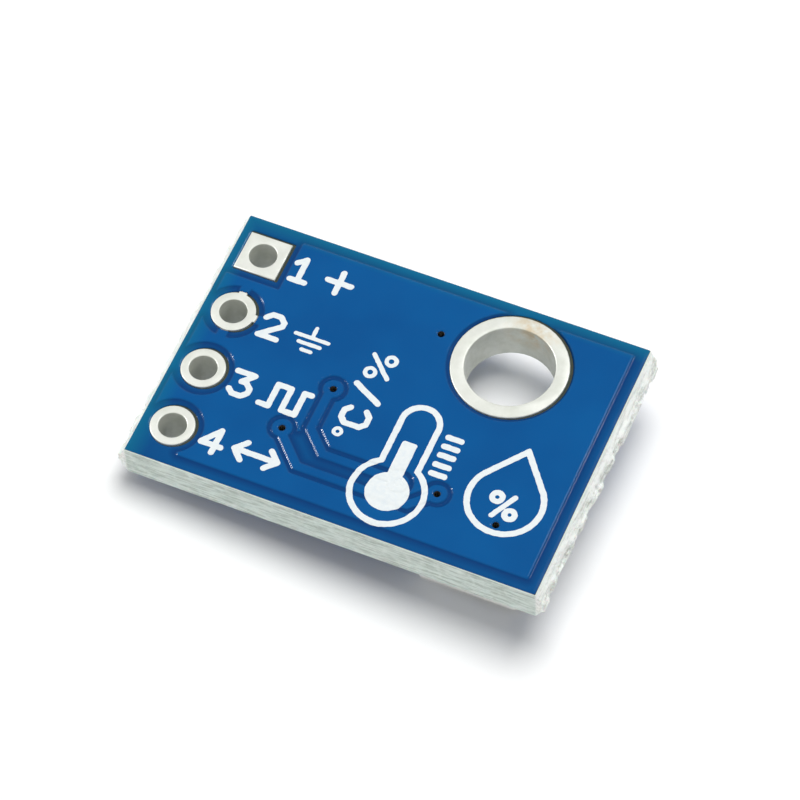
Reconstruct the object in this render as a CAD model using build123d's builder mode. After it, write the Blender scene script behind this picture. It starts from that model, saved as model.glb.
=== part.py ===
from build123d import *
import os

# Temperature and humidity sensor module: a small two-sided circuit board with a four-hole
# header row, a screw hole, and its sensor and supporting parts soldered underneath.
# Millimetres. +Z is up through the label side, +X runs away from the header row, +Y to the
# back. The origin is under the middle of the board, level with the sensor's lowest face.

# Header row
pin_pitch = 2.54
pin_count = 4
pin_hole_diameter = 1.0
pin_pad_diameter = 1.6
pin_clearance = 0.34          # bare ring between a pin's pad and the ground copper
header_inset = 1.15           # row of holes to the left edge of the top face
row_margin = 1.465            # last hole of the row to the long edge

# Screw hole
screw_hole_diameter = 3.2
screw_ring_diameter = 4.2
screw_clearance = 0.18
screw_to_right = 4.25
screw_to_back = 2.49

# Sensor package
header_to_sensor = 9.3        # row of holes to the package's near edge
sensor_width = 4.0
sensor_length = 5.0
sensor_to_right = 0.83
sensor_to_front = 0.65
sensor_to_ring = 0.31
sensor_terminal_pitch = 1.27
sensor_terminals_per_side = 3
sensor_terminal_width = 0.56
sensor_terminal_length = 0.5
sensor_terminal_thickness = 0.05
sensor_notch_radius = 0.2
sensor_plating = 0.04
sensor_base_thickness = 0.4
sensor_cap_height = 1.15
sensor_cap_inset = 0.05
sensor_cap_wall = 0.4
sensor_cap_roof = 0.3
sensor_cap_corner = 0.3
sensor_vent_width = 2.2
sensor_vent_length = 0.9
sensor_cap_edge = 0.15
sensor_vent_edge = 0.1
sensor_solder_rise = 0.3
sensing_chip_size = 1.3
readout_chip_width = 1.8
readout_chip_length = 1.2
chip_thickness = 0.3
sensing_chip_clearance = 0.15  # chip under the vent to the cap's front wall
readout_chip_clearance = 0.55  # readout chip to the cap's back wall

# Board build-up
laminate_thickness = 1.42
copper_thickness = 0.05
tin_thickness = 0.05
mask_on_copper = 0.04         # lacquer stands this much higher over copper than in the gaps
mask_wall = 0.04              # and carries on past a copper edge by this much
mask_opening_margin = 0.06    # opening round a pad
land_opening_margin = 0.05    # opening round a land of the parts side
tab_clearance = 0.02          # tinned bridges end this far inside a pad's opening
mask_edge_margin = 0.1        # the parts side's film stops short of the sawn edges
mask_shift_x = 0.035          # the top film lies a little towards the back right corner
mask_shift_y = 0.035
barrel_wall = 0.018

# Snapped ends: a sloped score above and below, and the web that broke between them
score_depth = 0.48
score_run = 0.36

# Copper layout
ground_margin = 0.47
ground_margin_left = 0.25
track_width = 0.25
track_gap = 0.25
fine_track_width = 0.2
fine_gap = 0.2
via_hole_diameter = 0.26
via_pad_diameter = 0.66
small_via_pad_diameter = 0.6
spoke_width = 0.3
via_sides = 16                # vias and notches are too small for full circles to show
smallest_island = 1.0         # ground copper of a smaller area is etched away

# Chip resistors and capacitors
chip_part_length = 1.6
chip_part_width = 0.8
resistor_height = 0.45
capacitor_height = 0.8
terminal_reach = 0.3
terminal_thickness = 0.04
land_toe = 0.35               # a land shows this much beyond its terminal
land_heel = 0.05
land_width = 0.8

# Leaded packages
regulator_length = 2.9
regulator_width = 1.3
regulator_height = 1.0
regulator_span = 2.4
regulator_pitch = 1.9
regulator_lead_width = 0.4
shifter_length = 2.0
shifter_width = 1.25
shifter_height = 0.85
shifter_span = 2.1
shifter_pitch = 0.65
shifter_lead_width = 0.22
package_standoff = 0.1
package_draft = 7
lead_thickness = 0.12
foot_share = 0.64             # part of a lead's overhang that lies flat on its land
lead_bend = 0.08
lead_bury = 0.15              # length of a lead inside its package
lead_solder_run = 0.2
sensor_land_length = 1.0
regulator_land_length = 0.9
regulator_land_width = 0.6
regulator_land_inset = 0.2    # middle of a land to the lead's toe
shifter_land_length = 0.8
shifter_land_width = 0.4
shifter_land_inset = 0.1

# Places on the parts side, each from what the part serves
pins_to_shifter = 2.75
resistor_pitch_left = 1.05
resistors_over_shifter = 2.7
resistor_pitch_right = 1.1
resistors_to_sensor = 2.25
capacitor_to_sensor = 1.15
parts_over_sensor = 1.15      # above the middle of the sensor
regulator_to_screw = 3.63
regulator_over_screw = 0.44
capacitor_to_regulator = 3.1
capacitor_over_regulator = 0.055
capacitor_left_of_regulator = 0.1
capacitor_under_regulator = 2.3

# Places of the vias and tracks
shifter_to_clock_via = 1.8
clock_via_rise = 0.92
shifter_to_data_via = 0.8
data_via_drop = 1.2
clock_via_to_sensor = 1.15
clock_via_under_sensor = 0.87
data_via_in_sensor = 0.25
data_via_under_sensor = 0.78
ground_via_to_screw = 2.75
ground_via_rise = 0.36
ground_via_in_sensor = 0.58
ground_via_under_sensor = 1.16
clock_track_under_sensor = 0.79
data_track_under_sensor = 1.57
clock_bend = 0.79
via_exit = 0.07
data_via_exit = 0.05
data_drop = 0.18
bend = 0.3
wide_bend = 0.5
supply_over_regulator = 1.1
regulated_foot_drop = 1.0
bus_from_resistor = 0.25
gate_to_resistor = 0.73
data_under_via = 0.4
level_to_foot = 0.55
pad_to_rise = 0.2

# Solder joints
solder_run = 0.3
solder_share = 0.7            # height of a joint up the end that it wets

os.makedirs("parts", exist_ok=True)

# Levels
seat_z = sensor_terminal_thickness + sensor_base_thickness + sensor_cap_height
bottom_z = seat_z + copper_thickness
top_z = bottom_z + laminate_thickness

# Plan: the board is as wide as the longer of its two columns needs
row_length = (pin_count - 1) * pin_pitch
sensor_column = (
    sensor_to_front + sensor_length + sensor_to_ring + screw_ring_diameter / 2 + screw_to_back
)
board_width = max(row_length + 2 * row_margin, sensor_column)
face_length = header_inset + header_to_sensor + sensor_width + sensor_to_right
left = -face_length / 2
right = face_length / 2
front = -board_width / 2
back = board_width / 2

header_x = left + header_inset
pins = [(header_x, row_length / 2 - n * pin_pitch) for n in range(pin_count)]
screw = (right - screw_to_right, back - screw_to_back)
sensor = (right - sensor_to_right - sensor_width / 2, front + sensor_to_front + sensor_length / 2)
sensor_edge = (sensor[0] - sensor_width / 2, sensor[1])


def beside(place, dx, dy):
    """The point that lies dx, dy from a place."""
    return (place[0] + dx, place[1] + dy)


# Parts on the underside
shifter = beside(pins[2], pins_to_shifter, 0)
regulator = beside(screw, -regulator_to_screw, regulator_over_screw)
header_resistors = [
    beside(shifter, -resistor_pitch_left, resistors_over_shifter),
    beside(shifter, 0, resistors_over_shifter),
]
sensor_resistors = [
    beside(sensor_edge, -resistors_to_sensor - resistor_pitch_right, parts_over_sensor),
    beside(sensor_edge, -resistors_to_sensor, parts_over_sensor),
]
input_capacitor = beside(regulator, -capacitor_to_regulator, capacitor_over_regulator)
output_capacitor = beside(regulator, -capacitor_left_of_regulator, -capacitor_under_regulator)
sensor_capacitor = beside(sensor_edge, -capacitor_to_sensor, parts_over_sensor)
resistors = header_resistors + sensor_resistors
capacitors = [input_capacitor, output_capacitor, sensor_capacitor]

# Vias: the clock pair, the data pair and two that tie the grounds together
clock_via_left = beside(shifter, shifter_to_clock_via, clock_via_rise)
clock_via_right = beside(sensor_edge, -clock_via_to_sensor, -clock_via_under_sensor)
data_via_left = beside(shifter, shifter_to_data_via, -data_via_drop)
data_via_right = beside(sensor_edge, data_via_in_sensor, -data_via_under_sensor)
ground_vias = [
    beside(screw, -ground_via_to_screw, ground_via_rise),
    beside(sensor, ground_via_in_sensor, -ground_via_under_sensor),
]
signal_vias = [clock_via_left, clock_via_right, data_via_left, data_via_right]
vias = signal_vias + ground_vias

# Top tracks, as the lines that their middles follow
clock_y = sensor[1] - clock_track_under_sensor
data_y = sensor[1] - data_track_under_sensor
clock_x = clock_via_left[0] - via_exit
data_x = data_via_left[0] + data_via_exit
data_bend = data_via_left[1] - data_drop - data_y
clock_route = [
    clock_via_left,
    (clock_x, clock_via_left[1] - pad_to_rise),
    (clock_x, clock_y + clock_bend),
    (clock_x + clock_bend, clock_y),
    (clock_via_right[0], clock_y),
    clock_via_right,
]
data_route = [
    data_via_left,
    (data_x, data_y + data_bend),
    (data_x + data_bend, data_y),
    (data_via_right[0] - (data_via_right[1] - data_y), data_y),
    data_via_right,
]
bare_strip = clock_route[2:5] + data_route[3:0:-1]

# Leads, as (offset along the package, side of it) pairs
regulator_feet = [(-regulator_pitch / 2, -1), (regulator_pitch / 2, -1), (0, 1)]
shifter_feet = [(n * shifter_pitch, side) for side in (-1, 1) for n in (-1, 0, 1)]


def pin_pad(n, spread=0):
    """Outline of pin n's pad, moved out by spread. The first pad is square."""
    with BuildSketch(mode=Mode.PRIVATE) as pad:
        with Locations(pins[n]):
            if n == 0:
                Rectangle(pin_pad_diameter + 2 * spread, pin_pad_diameter + 2 * spread)
            else:
                Circle(pin_pad_diameter / 2 + spread)
    return pad.sketch


def run(route, width):
    """A track: a strip of one width along a route, mitred where it bends."""
    points = [Vector(*point) for point in route]
    across = [(b - a).normalized().rotate(Axis.Z, 90) for a, b in zip(points, points[1:])]
    mitres = [across[0]]
    mitres += [(a + b) / (1 + a.dot(b)) for a, b in zip(across, across[1:])]
    mitres.append(across[-1])
    one_side = [point + mitre * width / 2 for point, mitre in zip(points, mitres)]
    other_side = [point - mitre * width / 2 for point, mitre in zip(points, mitres)]
    with BuildSketch(mode=Mode.PRIVATE) as track:
        with BuildLine():
            Polyline(*one_side, *reversed(other_side), close=True)
        make_face()
    return track.sketch


def discs(places, diameter):
    """A disc at each place."""
    with BuildSketch(mode=Mode.PRIVATE) as spots:
        with Locations(*places):
            Circle(diameter / 2)
    return spots.sketch


def via_discs(places, diameter):
    """A small disc at each place, drawn with few sides."""
    with BuildSketch(mode=Mode.PRIVATE) as spots:
        with Locations(*places):
            RegularPolygon(diameter / 2, via_sides)
    return spots.sketch


def plates(places, width, length):
    """A rectangle at each place."""
    with BuildSketch(mode=Mode.PRIVATE) as spots:
        with Locations(*places):
            Rectangle(width, length)
    return spots.sketch


def top_track(route, spread=0):
    """A top track with a via pad at both ends, its edges moved out by spread."""
    with BuildSketch(mode=Mode.PRIVATE) as track:
        add(run(route, track_width + 2 * spread))
        add(via_discs([route[0], route[-1]], via_pad_diameter + 2 * spread))
    return track.sketch


def ground_field(spread=0):
    """The ground copper's outer edge, with its dead front left corner cut off."""
    with BuildSketch(mode=Mode.PRIVATE) as field:
        x_low = left + ground_margin_left - spread
        x_high = right - ground_margin + spread
        y_low = front + ground_margin - spread
        y_high = back - ground_margin + spread
        with Locations(((x_low + x_high) / 2, (y_low + y_high) / 2)):
            Rectangle(x_high - x_low, y_high - y_low)
        corner = field.vertices().group_by(Axis.Y)[0].sort_by(Axis.X)[0]
        chamfer(corner, pin_pad_diameter)
        for n in range(pin_count):
            add(pin_pad(n, pin_clearance - spread), mode=Mode.SUBTRACT)
        with Locations(screw):
            Circle(screw_ring_diameter / 2 + screw_clearance - spread, mode=Mode.SUBTRACT)
    return field.sketch


def spokes(spread=0):
    """Three bridges that join the second pin's pad to the ground copper."""
    reach = pin_pad_diameter / 2 + pin_clearance + mask_wall
    with BuildSketch(mode=Mode.PRIVATE) as bridges:
        with Locations(pins[1]):
            Rectangle(spoke_width + 2 * spread, 2 * reach)
            Rectangle(reach, spoke_width + 2 * spread, align=(Align.MIN, Align.CENTER))
        add(pin_pad(1), mode=Mode.SUBTRACT)
    return bridges.sketch


def tabs(shift_x=0, shift_y=0):
    """Stubs of those bridges that the pad's mask opening lays bare, tinned with the pad."""
    with BuildSketch(mode=Mode.PRIVATE) as stubs:
        add(spokes())
        with Locations(beside(pins[1], shift_x, shift_y)):
            Circle(pin_pad_diameter / 2 + mask_opening_margin - tab_clearance, mode=Mode.INTERSECT)
    return stubs.sketch


def live_ground(ground):
    """Ground copper without the slivers that the gaps leave over."""
    with BuildSketch(mode=Mode.PRIVATE) as kept:
        add(ground.faces().filter_by(lambda island: island.area > smallest_island))
    return kept.sketch


def strip_between_tracks(spread=0):
    """The narrow strip between the two top tracks, which holds no ground copper."""
    with BuildSketch(mode=Mode.PRIVATE) as strip:
        with BuildLine():
            Polyline(*bare_strip, close=True)
        make_face()
        if spread > 0:
            offset(amount=-spread, kind=Kind.INTERSECTION, mode=Mode.REPLACE)
    return strip.sketch


def top_ground(spread=0):
    """Ground copper of the label side, its edges moved out by spread."""
    gap = track_gap - spread
    with BuildSketch(mode=Mode.PRIVATE) as ground:
        add(ground_field(spread))
        add(top_track(clock_route, gap), mode=Mode.SUBTRACT)
        add(top_track(data_route, gap), mode=Mode.SUBTRACT)
        add(strip_between_tracks(spread), mode=Mode.SUBTRACT)
        add(spokes(spread))
    return live_ground(ground)


def outline(edge_margin=0):
    """The flat face of the board inside its two snapped ends."""
    with BuildSketch(mode=Mode.PRIVATE) as face:
        Rectangle(face_length, board_width - 2 * edge_margin)
    return face.sketch


# Underside lands, as sketches by net
land_length = land_toe + terminal_reach + land_heel
end_reach = chip_part_length / 2 + land_toe - land_length / 2


def chip_lands(place, ends=(-1, 1), upright=False, margin=0):
    """Lands at the ends of a chip part that lies along X, or along Y if upright."""
    with BuildSketch(mode=Mode.PRIVATE) as lands:
        for end in ends:
            if upright:
                with Locations(beside(place, 0, end * end_reach)):
                    Rectangle(land_width + 2 * margin, land_length + 2 * margin)
            else:
                with Locations(beside(place, end * end_reach, 0)):
                    Rectangle(land_length + 2 * margin, land_width + 2 * margin)
    return lands.sketch


sensor_rows = [
    (n - (sensor_terminals_per_side - 1) / 2) * sensor_terminal_pitch
    for n in range(sensor_terminals_per_side)
]


def sensor_lands(feet, margin=0):
    """Lands for sensor terminals, given as (row, side) pairs."""
    places = [beside(sensor, side * sensor_width / 2, sensor_rows[row]) for row, side in feet]
    return plates(places, sensor_land_length + 2 * margin, sensor_terminal_width + 2 * margin)


def regulator_lands(feet, margin=0):
    """Lands for regulator leads, given as (offset, side) pairs."""
    out = regulator_span / 2 - regulator_land_inset
    places = [beside(regulator, offset, side * out) for offset, side in feet]
    return plates(places, regulator_land_width + 2 * margin, regulator_land_length + 2 * margin)


def shifter_lands(feet, margin=0):
    """Lands for level shifter leads, given as (offset, side) pairs."""
    out = shifter_span / 2 - shifter_land_inset
    places = [beside(shifter, side * out, offset) for offset, side in feet]
    return plates(places, shifter_land_length + 2 * margin, shifter_land_width + 2 * margin)


supply_feet = [regulator_feet[2]]
regulated_feet = [regulator_feet[0]]
ground_feet = [regulator_feet[1]]
header_data_foot, spare_foot, header_clock_foot = shifter_feet[:3]
sensor_data_foot, gate_foot, sensor_clock_foot = shifter_feet[3:]


def foot_at(foot):
    """Middle of a level shifter land."""
    return beside(shifter, foot[1] * (shifter_span / 2 - shifter_land_inset), foot[0])


supply_bus_y = regulator[1] + supply_over_regulator
regulated_bus_y = sensor_resistors[0][1] + end_reach
regulated_drop_x = regulator[0] - regulator_pitch / 2
gate_x = sensor_resistors[0][0] - gate_to_resistor


def supply_copper(spread=0):
    """Underside copper that takes the supply from the first pin."""
    width = fine_track_width + 2 * spread
    turn_x = input_capacitor[0] - end_reach
    with BuildSketch(mode=Mode.PRIVATE) as copper:
        add(run([pins[0], (turn_x, pins[0][1]), (turn_x, supply_bus_y - bend),
                 (turn_x + bend, supply_bus_y), (regulator[0], supply_bus_y)], width))
        resistor_y = header_resistors[0][1] + end_reach
        add(run([(turn_x, pins[0][1]), (turn_x, resistor_y)], width))
        add(run([(place[0], resistor_y) for place in header_resistors], width))
        add(chip_lands(input_capacitor, [-1], margin=spread))
        for place in header_resistors:
            add(chip_lands(place, [1], upright=True, margin=spread))
        add(regulator_lands(supply_feet, spread))
    return copper.sketch


def regulated_copper(spread=0):
    """Underside copper that takes the regulated supply to the sensor."""
    width = fine_track_width + 2 * spread
    drop_top = (regulated_drop_x, regulator[1] - regulated_foot_drop)
    drop_foot = (regulated_drop_x, output_capacitor[1])
    last_land = sensor_capacitor[0] + land_width / 2
    step = regulated_bus_y - sensor[1] - sensor_rows[2]
    with BuildSketch(mode=Mode.PRIVATE) as copper:
        add(run([drop_top, drop_foot, (output_capacitor[0] - end_reach, drop_foot[1])], width))
        bus_start = (sensor_resistors[0][0] - bus_from_resistor, regulated_bus_y)
        add(run([drop_foot, (bus_start[0], drop_foot[1]), bus_start], width))
        add(run([bus_start, (last_land, regulated_bus_y),
                 (last_land + step, regulated_bus_y - step),
                 beside(sensor, -sensor_width / 2, sensor_rows[2])], width))
        gate = foot_at(gate_foot)
        add(run([bus_start, (gate_x, regulated_bus_y), (gate_x, gate[1] + pad_to_rise),
                 (gate_x - pad_to_rise, gate[1]), gate], width))
        add(chip_lands(output_capacitor, [-1], margin=spread))
        for place in sensor_resistors + [sensor_capacitor]:
            add(chip_lands(place, [1], upright=True, margin=spread))
        add(regulator_lands(regulated_feet, spread))
        add(shifter_lands([gate_foot], spread))
        add(sensor_lands([(2, -1)], spread))
    return copper.sketch


def header_clock_copper(spread=0):
    """Underside copper from the third pin to the level shifter and its pull-up."""
    width = fine_track_width + 2 * spread
    foot = foot_at(header_clock_foot)
    pull_up = beside(header_resistors[0], 0, -end_reach)
    level_x = foot[0] - level_to_foot
    rise = foot[1] - pins[2][1]
    with BuildSketch(mode=Mode.PRIVATE) as copper:
        add(run([pins[2], (level_x - rise, pins[2][1]), (level_x, foot[1]), foot, pull_up], width))
        add(chip_lands(header_resistors[0], [-1], upright=True, margin=spread))
        add(shifter_lands([header_clock_foot], spread))
    return copper.sketch


def header_data_copper(spread=0):
    """Underside copper from the fourth pin, which passes under the level shifter."""
    width = fine_track_width + 2 * spread
    foot = foot_at(header_data_foot)
    pull_up = beside(header_resistors[1], 0, -end_reach)
    rise = foot[0] - pins[3][0] - pin_pad_diameter / 2 - pad_to_rise
    with BuildSketch(mode=Mode.PRIVATE) as copper:
        add(run([pins[3], (foot[0] - rise, pins[3][1]), (foot[0], pins[3][1] + rise), foot], width))
        add(run([pull_up, (pull_up[0], foot[1] + bend), (pull_up[0] - bend, foot[1]), foot], width))
        add(chip_lands(header_resistors[1], [-1], upright=True, margin=spread))
        add(shifter_lands([header_data_foot], spread))
    return copper.sketch


def sensor_clock_copper(spread=0):
    """Underside copper at both ends of the clock's top track."""
    width = fine_track_width + 2 * spread
    pull_up = beside(sensor_resistors[1], 0, -end_reach)
    drop = pull_up[1] - clock_via_right[1]
    land = beside(sensor, -sensor_width / 2, sensor_rows[1])
    climb = land[1] - clock_via_right[1]
    with BuildSketch(mode=Mode.PRIVATE) as copper:
        add(run([foot_at(sensor_clock_foot), clock_via_left], width))
        add(run([pull_up, (clock_via_right[0] - drop, pull_up[1]), clock_via_right], width))
        add(run([clock_via_right, beside(clock_via_right, climb, climb), land], width))
        add(via_discs([clock_via_left, clock_via_right], via_pad_diameter + 2 * spread))
        add(chip_lands(sensor_resistors[1], [-1], upright=True, margin=spread))
        add(shifter_lands([sensor_clock_foot], spread))
        add(sensor_lands([(1, -1)], spread))
    return copper.sketch


def sensor_data_copper(spread=0):
    """Underside copper at both ends of the data's top track."""
    width = fine_track_width + 2 * spread
    pull_up = beside(sensor_resistors[0], 0, -end_reach)
    low_y = data_via_left[1] - data_under_via
    with BuildSketch(mode=Mode.PRIVATE) as copper:
        add(run([foot_at(sensor_data_foot), data_via_left,
                 beside(data_via_left, data_under_via, -data_under_via),
                 (pull_up[0] - wide_bend, low_y), (pull_up[0], low_y + wide_bend), pull_up], width))
        add(via_discs([data_via_left, data_via_right], small_via_pad_diameter + 2 * spread))
        add(chip_lands(sensor_resistors[0], [-1], upright=True, margin=spread))
        add(shifter_lands([sensor_data_foot], spread))
        add(sensor_lands([(0, -1)], spread))
    return copper.sketch


def spare_copper(spread=0):
    """Lands that only hold a terminal and join no track."""
    with BuildSketch(mode=Mode.PRIVATE) as copper:
        add(shifter_lands([spare_foot], spread))
        add(sensor_lands([(1, 1), (2, 1)], spread))
    return copper.sketch


underside_nets = {
    "supply_track": supply_copper,
    "regulated_track": regulated_copper,
    "header_clock_track": header_clock_copper,
    "header_data_track": header_data_copper,
    "sensor_clock_track": sensor_clock_copper,
    "sensor_data_track": sensor_data_copper,
    "spare_lands": spare_copper,
}


def bottom_ground(spread=0):
    """Ground copper of the parts side, its edges moved out by spread."""
    with BuildSketch(mode=Mode.PRIVATE) as ground:
        add(ground_field(spread))
        for net in underside_nets.values():
            add(net(fine_gap - spread), mode=Mode.SUBTRACT)
        add(spokes(spread))
    return live_ground(ground)


def bare_holes():
    """Everything that a drill takes out of a copper layer."""
    with BuildSketch(mode=Mode.PRIVATE) as holes:
        for n in range(pin_count):
            add(pin_pad(n))
        add(via_discs(vias, via_hole_diameter + 2 * barrel_wall))
    return holes.sketch


def openings(shift_x=0, shift_y=0):
    """Mask openings round the pads and over the via holes."""
    with BuildSketch(mode=Mode.PRIVATE) as gaps:
        for n in range(pin_count):
            add(pin_pad(n, mask_opening_margin).moved(Location((shift_x, shift_y, 0))))
        ring = screw_ring_diameter + 2 * mask_opening_margin
        add(discs([beside(screw, shift_x, shift_y)], ring))
        add(via_discs(vias, via_hole_diameter))
    return gaps.sketch


def land_openings():
    """Mask openings over every land of the parts side."""
    with BuildSketch(mode=Mode.PRIVATE) as gaps:
        for place in resistors + [sensor_capacitor]:
            add(chip_lands(place, upright=True, margin=land_opening_margin))
        for place in (input_capacitor, output_capacitor):
            add(chip_lands(place, margin=land_opening_margin))
        add(regulator_lands(regulator_feet, land_opening_margin))
        add(shifter_lands(shifter_feet, land_opening_margin))
        add(sensor_lands([(row, side) for row in range(3) for side in (-1, 1)],
                         land_opening_margin))
    return gaps.sketch


# Laminate: one section drawn across the snapped ends, then drilled
half_face = face_length / 2
half_web = half_face + score_run
with BuildPart() as laminate:
    with BuildSketch(Plane.XZ.offset(-back)):
        with BuildLine():
            Polyline(
                (-half_face, top_z),
                (half_face, top_z),
                (half_web, top_z - score_depth),
                (half_web, bottom_z + score_depth),
                (half_face, bottom_z),
                (-half_face, bottom_z),
                (-half_web, bottom_z + score_depth),
                (-half_web, top_z - score_depth),
                close=True,
            )
        make_face()
    extrude(amount=board_width)
    with BuildSketch(Plane.XY.offset(top_z)):
        with Locations(*pins):
            Circle(pin_hole_diameter / 2 + barrel_wall)
        with Locations(screw):
            Circle(screw_hole_diameter / 2 + barrel_wall)
        add(via_discs(vias, via_hole_diameter + 2 * barrel_wall))
    extrude(amount=-laminate_thickness, mode=Mode.SUBTRACT)

# Label side copper
with BuildPart() as top_ground_pour:
    with BuildSketch(Plane.XY.offset(top_z)):
        add(top_ground())
        add(tabs(mask_shift_x, mask_shift_y), mode=Mode.SUBTRACT)
        add(bare_holes(), mode=Mode.SUBTRACT)
    extrude(amount=copper_thickness)

with BuildPart() as top_clock_track:
    with BuildSketch(Plane.XY.offset(top_z)):
        add(top_track(clock_route))
        add(bare_holes(), mode=Mode.SUBTRACT)
    extrude(amount=copper_thickness)

with BuildPart() as top_data_track:
    with BuildSketch(Plane.XY.offset(top_z)):
        add(top_track(data_route))
        add(bare_holes(), mode=Mode.SUBTRACT)
    extrude(amount=copper_thickness)

# Parts side copper
with BuildPart() as bottom_ground_pour:
    with BuildSketch(Plane.XY.offset(bottom_z)):
        add(bottom_ground())
        add(tabs(), mode=Mode.SUBTRACT)
        add(bare_holes(), mode=Mode.SUBTRACT)
    extrude(amount=-copper_thickness)

underside_tracks = []
for name, net in underside_nets.items():
    with BuildPart() as underside_track:
        with BuildSketch(Plane.XY.offset(bottom_z)):
            add(net())
            add(bare_holes(), mode=Mode.SUBTRACT)
        extrude(amount=-copper_thickness)
    underside_track.part.label = name
    underside_tracks.append(underside_track.part)


# Lacquer film that follows the copper: level with it in the gaps, and raised over it
with BuildPart() as solder_mask_top:
    with BuildSketch(Plane.XY.offset(top_z)):
        add(outline())
        add(openings(mask_shift_x, mask_shift_y), mode=Mode.SUBTRACT)
        add(top_ground(), mode=Mode.SUBTRACT)
        add(top_track(clock_route), mode=Mode.SUBTRACT)
        add(top_track(data_route), mode=Mode.SUBTRACT)
    extrude(amount=copper_thickness)
    with BuildSketch(Plane.XY.offset(top_z + copper_thickness)):
        add(top_ground(mask_wall))
        add(top_track(clock_route, mask_wall))
        add(top_track(data_route, mask_wall))
        add(openings(mask_shift_x, mask_shift_y), mode=Mode.SUBTRACT)
    extrude(amount=mask_on_copper)

with BuildPart() as solder_mask_bottom:
    with BuildSketch(Plane.XY.offset(bottom_z)):
        add(outline(mask_edge_margin))
        add(openings(), mode=Mode.SUBTRACT)
        add(land_openings(), mode=Mode.SUBTRACT)
    extrude(amount=-(copper_thickness + mask_on_copper))
    with BuildSketch(Plane.XY.offset(bottom_z)):
        add(bottom_ground())
        for net in underside_nets.values():
            add(net())
    extrude(amount=-copper_thickness, mode=Mode.SUBTRACT)


# Plated holes: a pad above, a pad below and the tube between them, turned in one piece
pad_thickness = copper_thickness + tin_thickness
barrels = []
for n in range(pin_count):
    with BuildPart() as pin_barrel:
        with BuildSketch(Plane.XY.offset(top_z)):
            add(pin_pad(n))
            if n == 1:
                add(tabs(mask_shift_x, mask_shift_y))
        extrude(amount=pad_thickness)
        with BuildSketch(Plane.XY.offset(bottom_z)):
            add(pin_pad(n))
            if n == 1:
                add(tabs())
        extrude(amount=-pad_thickness)
        with BuildSketch(Plane.XY.offset(bottom_z)):
            with Locations(pins[n]):
                Circle(pin_hole_diameter / 2 + barrel_wall)
        extrude(amount=laminate_thickness)
        with BuildSketch(Plane.XY.offset(bottom_z - pad_thickness)):
            with Locations(pins[n]):
                Circle(pin_hole_diameter / 2)
        extrude(amount=laminate_thickness + 2 * pad_thickness, mode=Mode.SUBTRACT)
    pin_barrel.part.label = f"pin_barrel_{n + 1}"
    barrels.append(pin_barrel.part)

screw_section = Plane(origin=(screw[0], screw[1], 0), x_dir=(1, 0, 0), z_dir=(0, -1, 0))
with BuildPart() as screw_barrel:
    ring_radius = screw_ring_diameter / 2
    hole_radius = screw_hole_diameter / 2
    with BuildSketch(screw_section):
        with BuildLine():
            Polyline(
                (hole_radius, bottom_z - pad_thickness),
                (ring_radius, bottom_z - pad_thickness),
                (ring_radius, bottom_z),
                (hole_radius + barrel_wall, bottom_z),
                (hole_radius + barrel_wall, top_z),
                (ring_radius, top_z),
                (ring_radius, top_z + pad_thickness),
                (hole_radius, top_z + pad_thickness),
                close=True,
            )
        make_face()
    revolve(axis=Axis((screw[0], screw[1], 0), (0, 0, 1)))

with BuildPart() as via_barrels:
    with BuildSketch(Plane.XY.offset(bottom_z - copper_thickness)):
        add(via_discs(vias, via_hole_diameter + 2 * barrel_wall))
        add(via_discs(vias, via_hole_diameter), mode=Mode.SUBTRACT)
    extrude(amount=laminate_thickness + 2 * copper_thickness)


# Sensor package, built downwards from the board: terminals, notched base, chips, vented cap
sensor_feet = [(row, side) for side in (-1, 1) for row in range(sensor_terminals_per_side)]
notches = [beside(sensor, side * sensor_width / 2, sensor_rows[row]) for row, side in sensor_feet]
base_top = seat_z - sensor_terminal_thickness
base_bottom = base_top - sensor_base_thickness


def package_outline(inset=0, corner=0):
    """Outline of the sensor package, drawn in by inset."""
    with BuildSketch(mode=Mode.PRIVATE) as plan:
        with Locations(sensor):
            width = sensor_width - 2 * inset
            length = sensor_length - 2 * inset
            if corner > 0:
                RectangleRounded(width, length, corner)
            else:
                Rectangle(width, length)
    return plan.sketch


with BuildPart() as sensor_base:
    with BuildSketch(Plane.XY.offset(base_top)):
        add(package_outline())
        add(via_discs(notches, 2 * sensor_notch_radius), mode=Mode.SUBTRACT)
    extrude(amount=-sensor_base_thickness)

with BuildPart() as sensor_terminals:
    with BuildSketch(Plane.XY.offset(seat_z)):
        for row, side in sensor_feet:
            middle = side * (sensor_width - sensor_terminal_length) / 2
            with Locations(beside(sensor, middle, sensor_rows[row])):
                Rectangle(sensor_terminal_length, sensor_terminal_width)
        add(via_discs(notches, 2 * (sensor_notch_radius - sensor_plating)), mode=Mode.SUBTRACT)
    extrude(amount=-sensor_terminal_thickness)
    with BuildSketch(Plane.XY.offset(base_top)):
        add(via_discs(notches, 2 * sensor_notch_radius))
        add(via_discs(notches, 2 * (sensor_notch_radius - sensor_plating)), mode=Mode.SUBTRACT)
        add(package_outline(), mode=Mode.INTERSECT)
    extrude(amount=-sensor_base_thickness)

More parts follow.
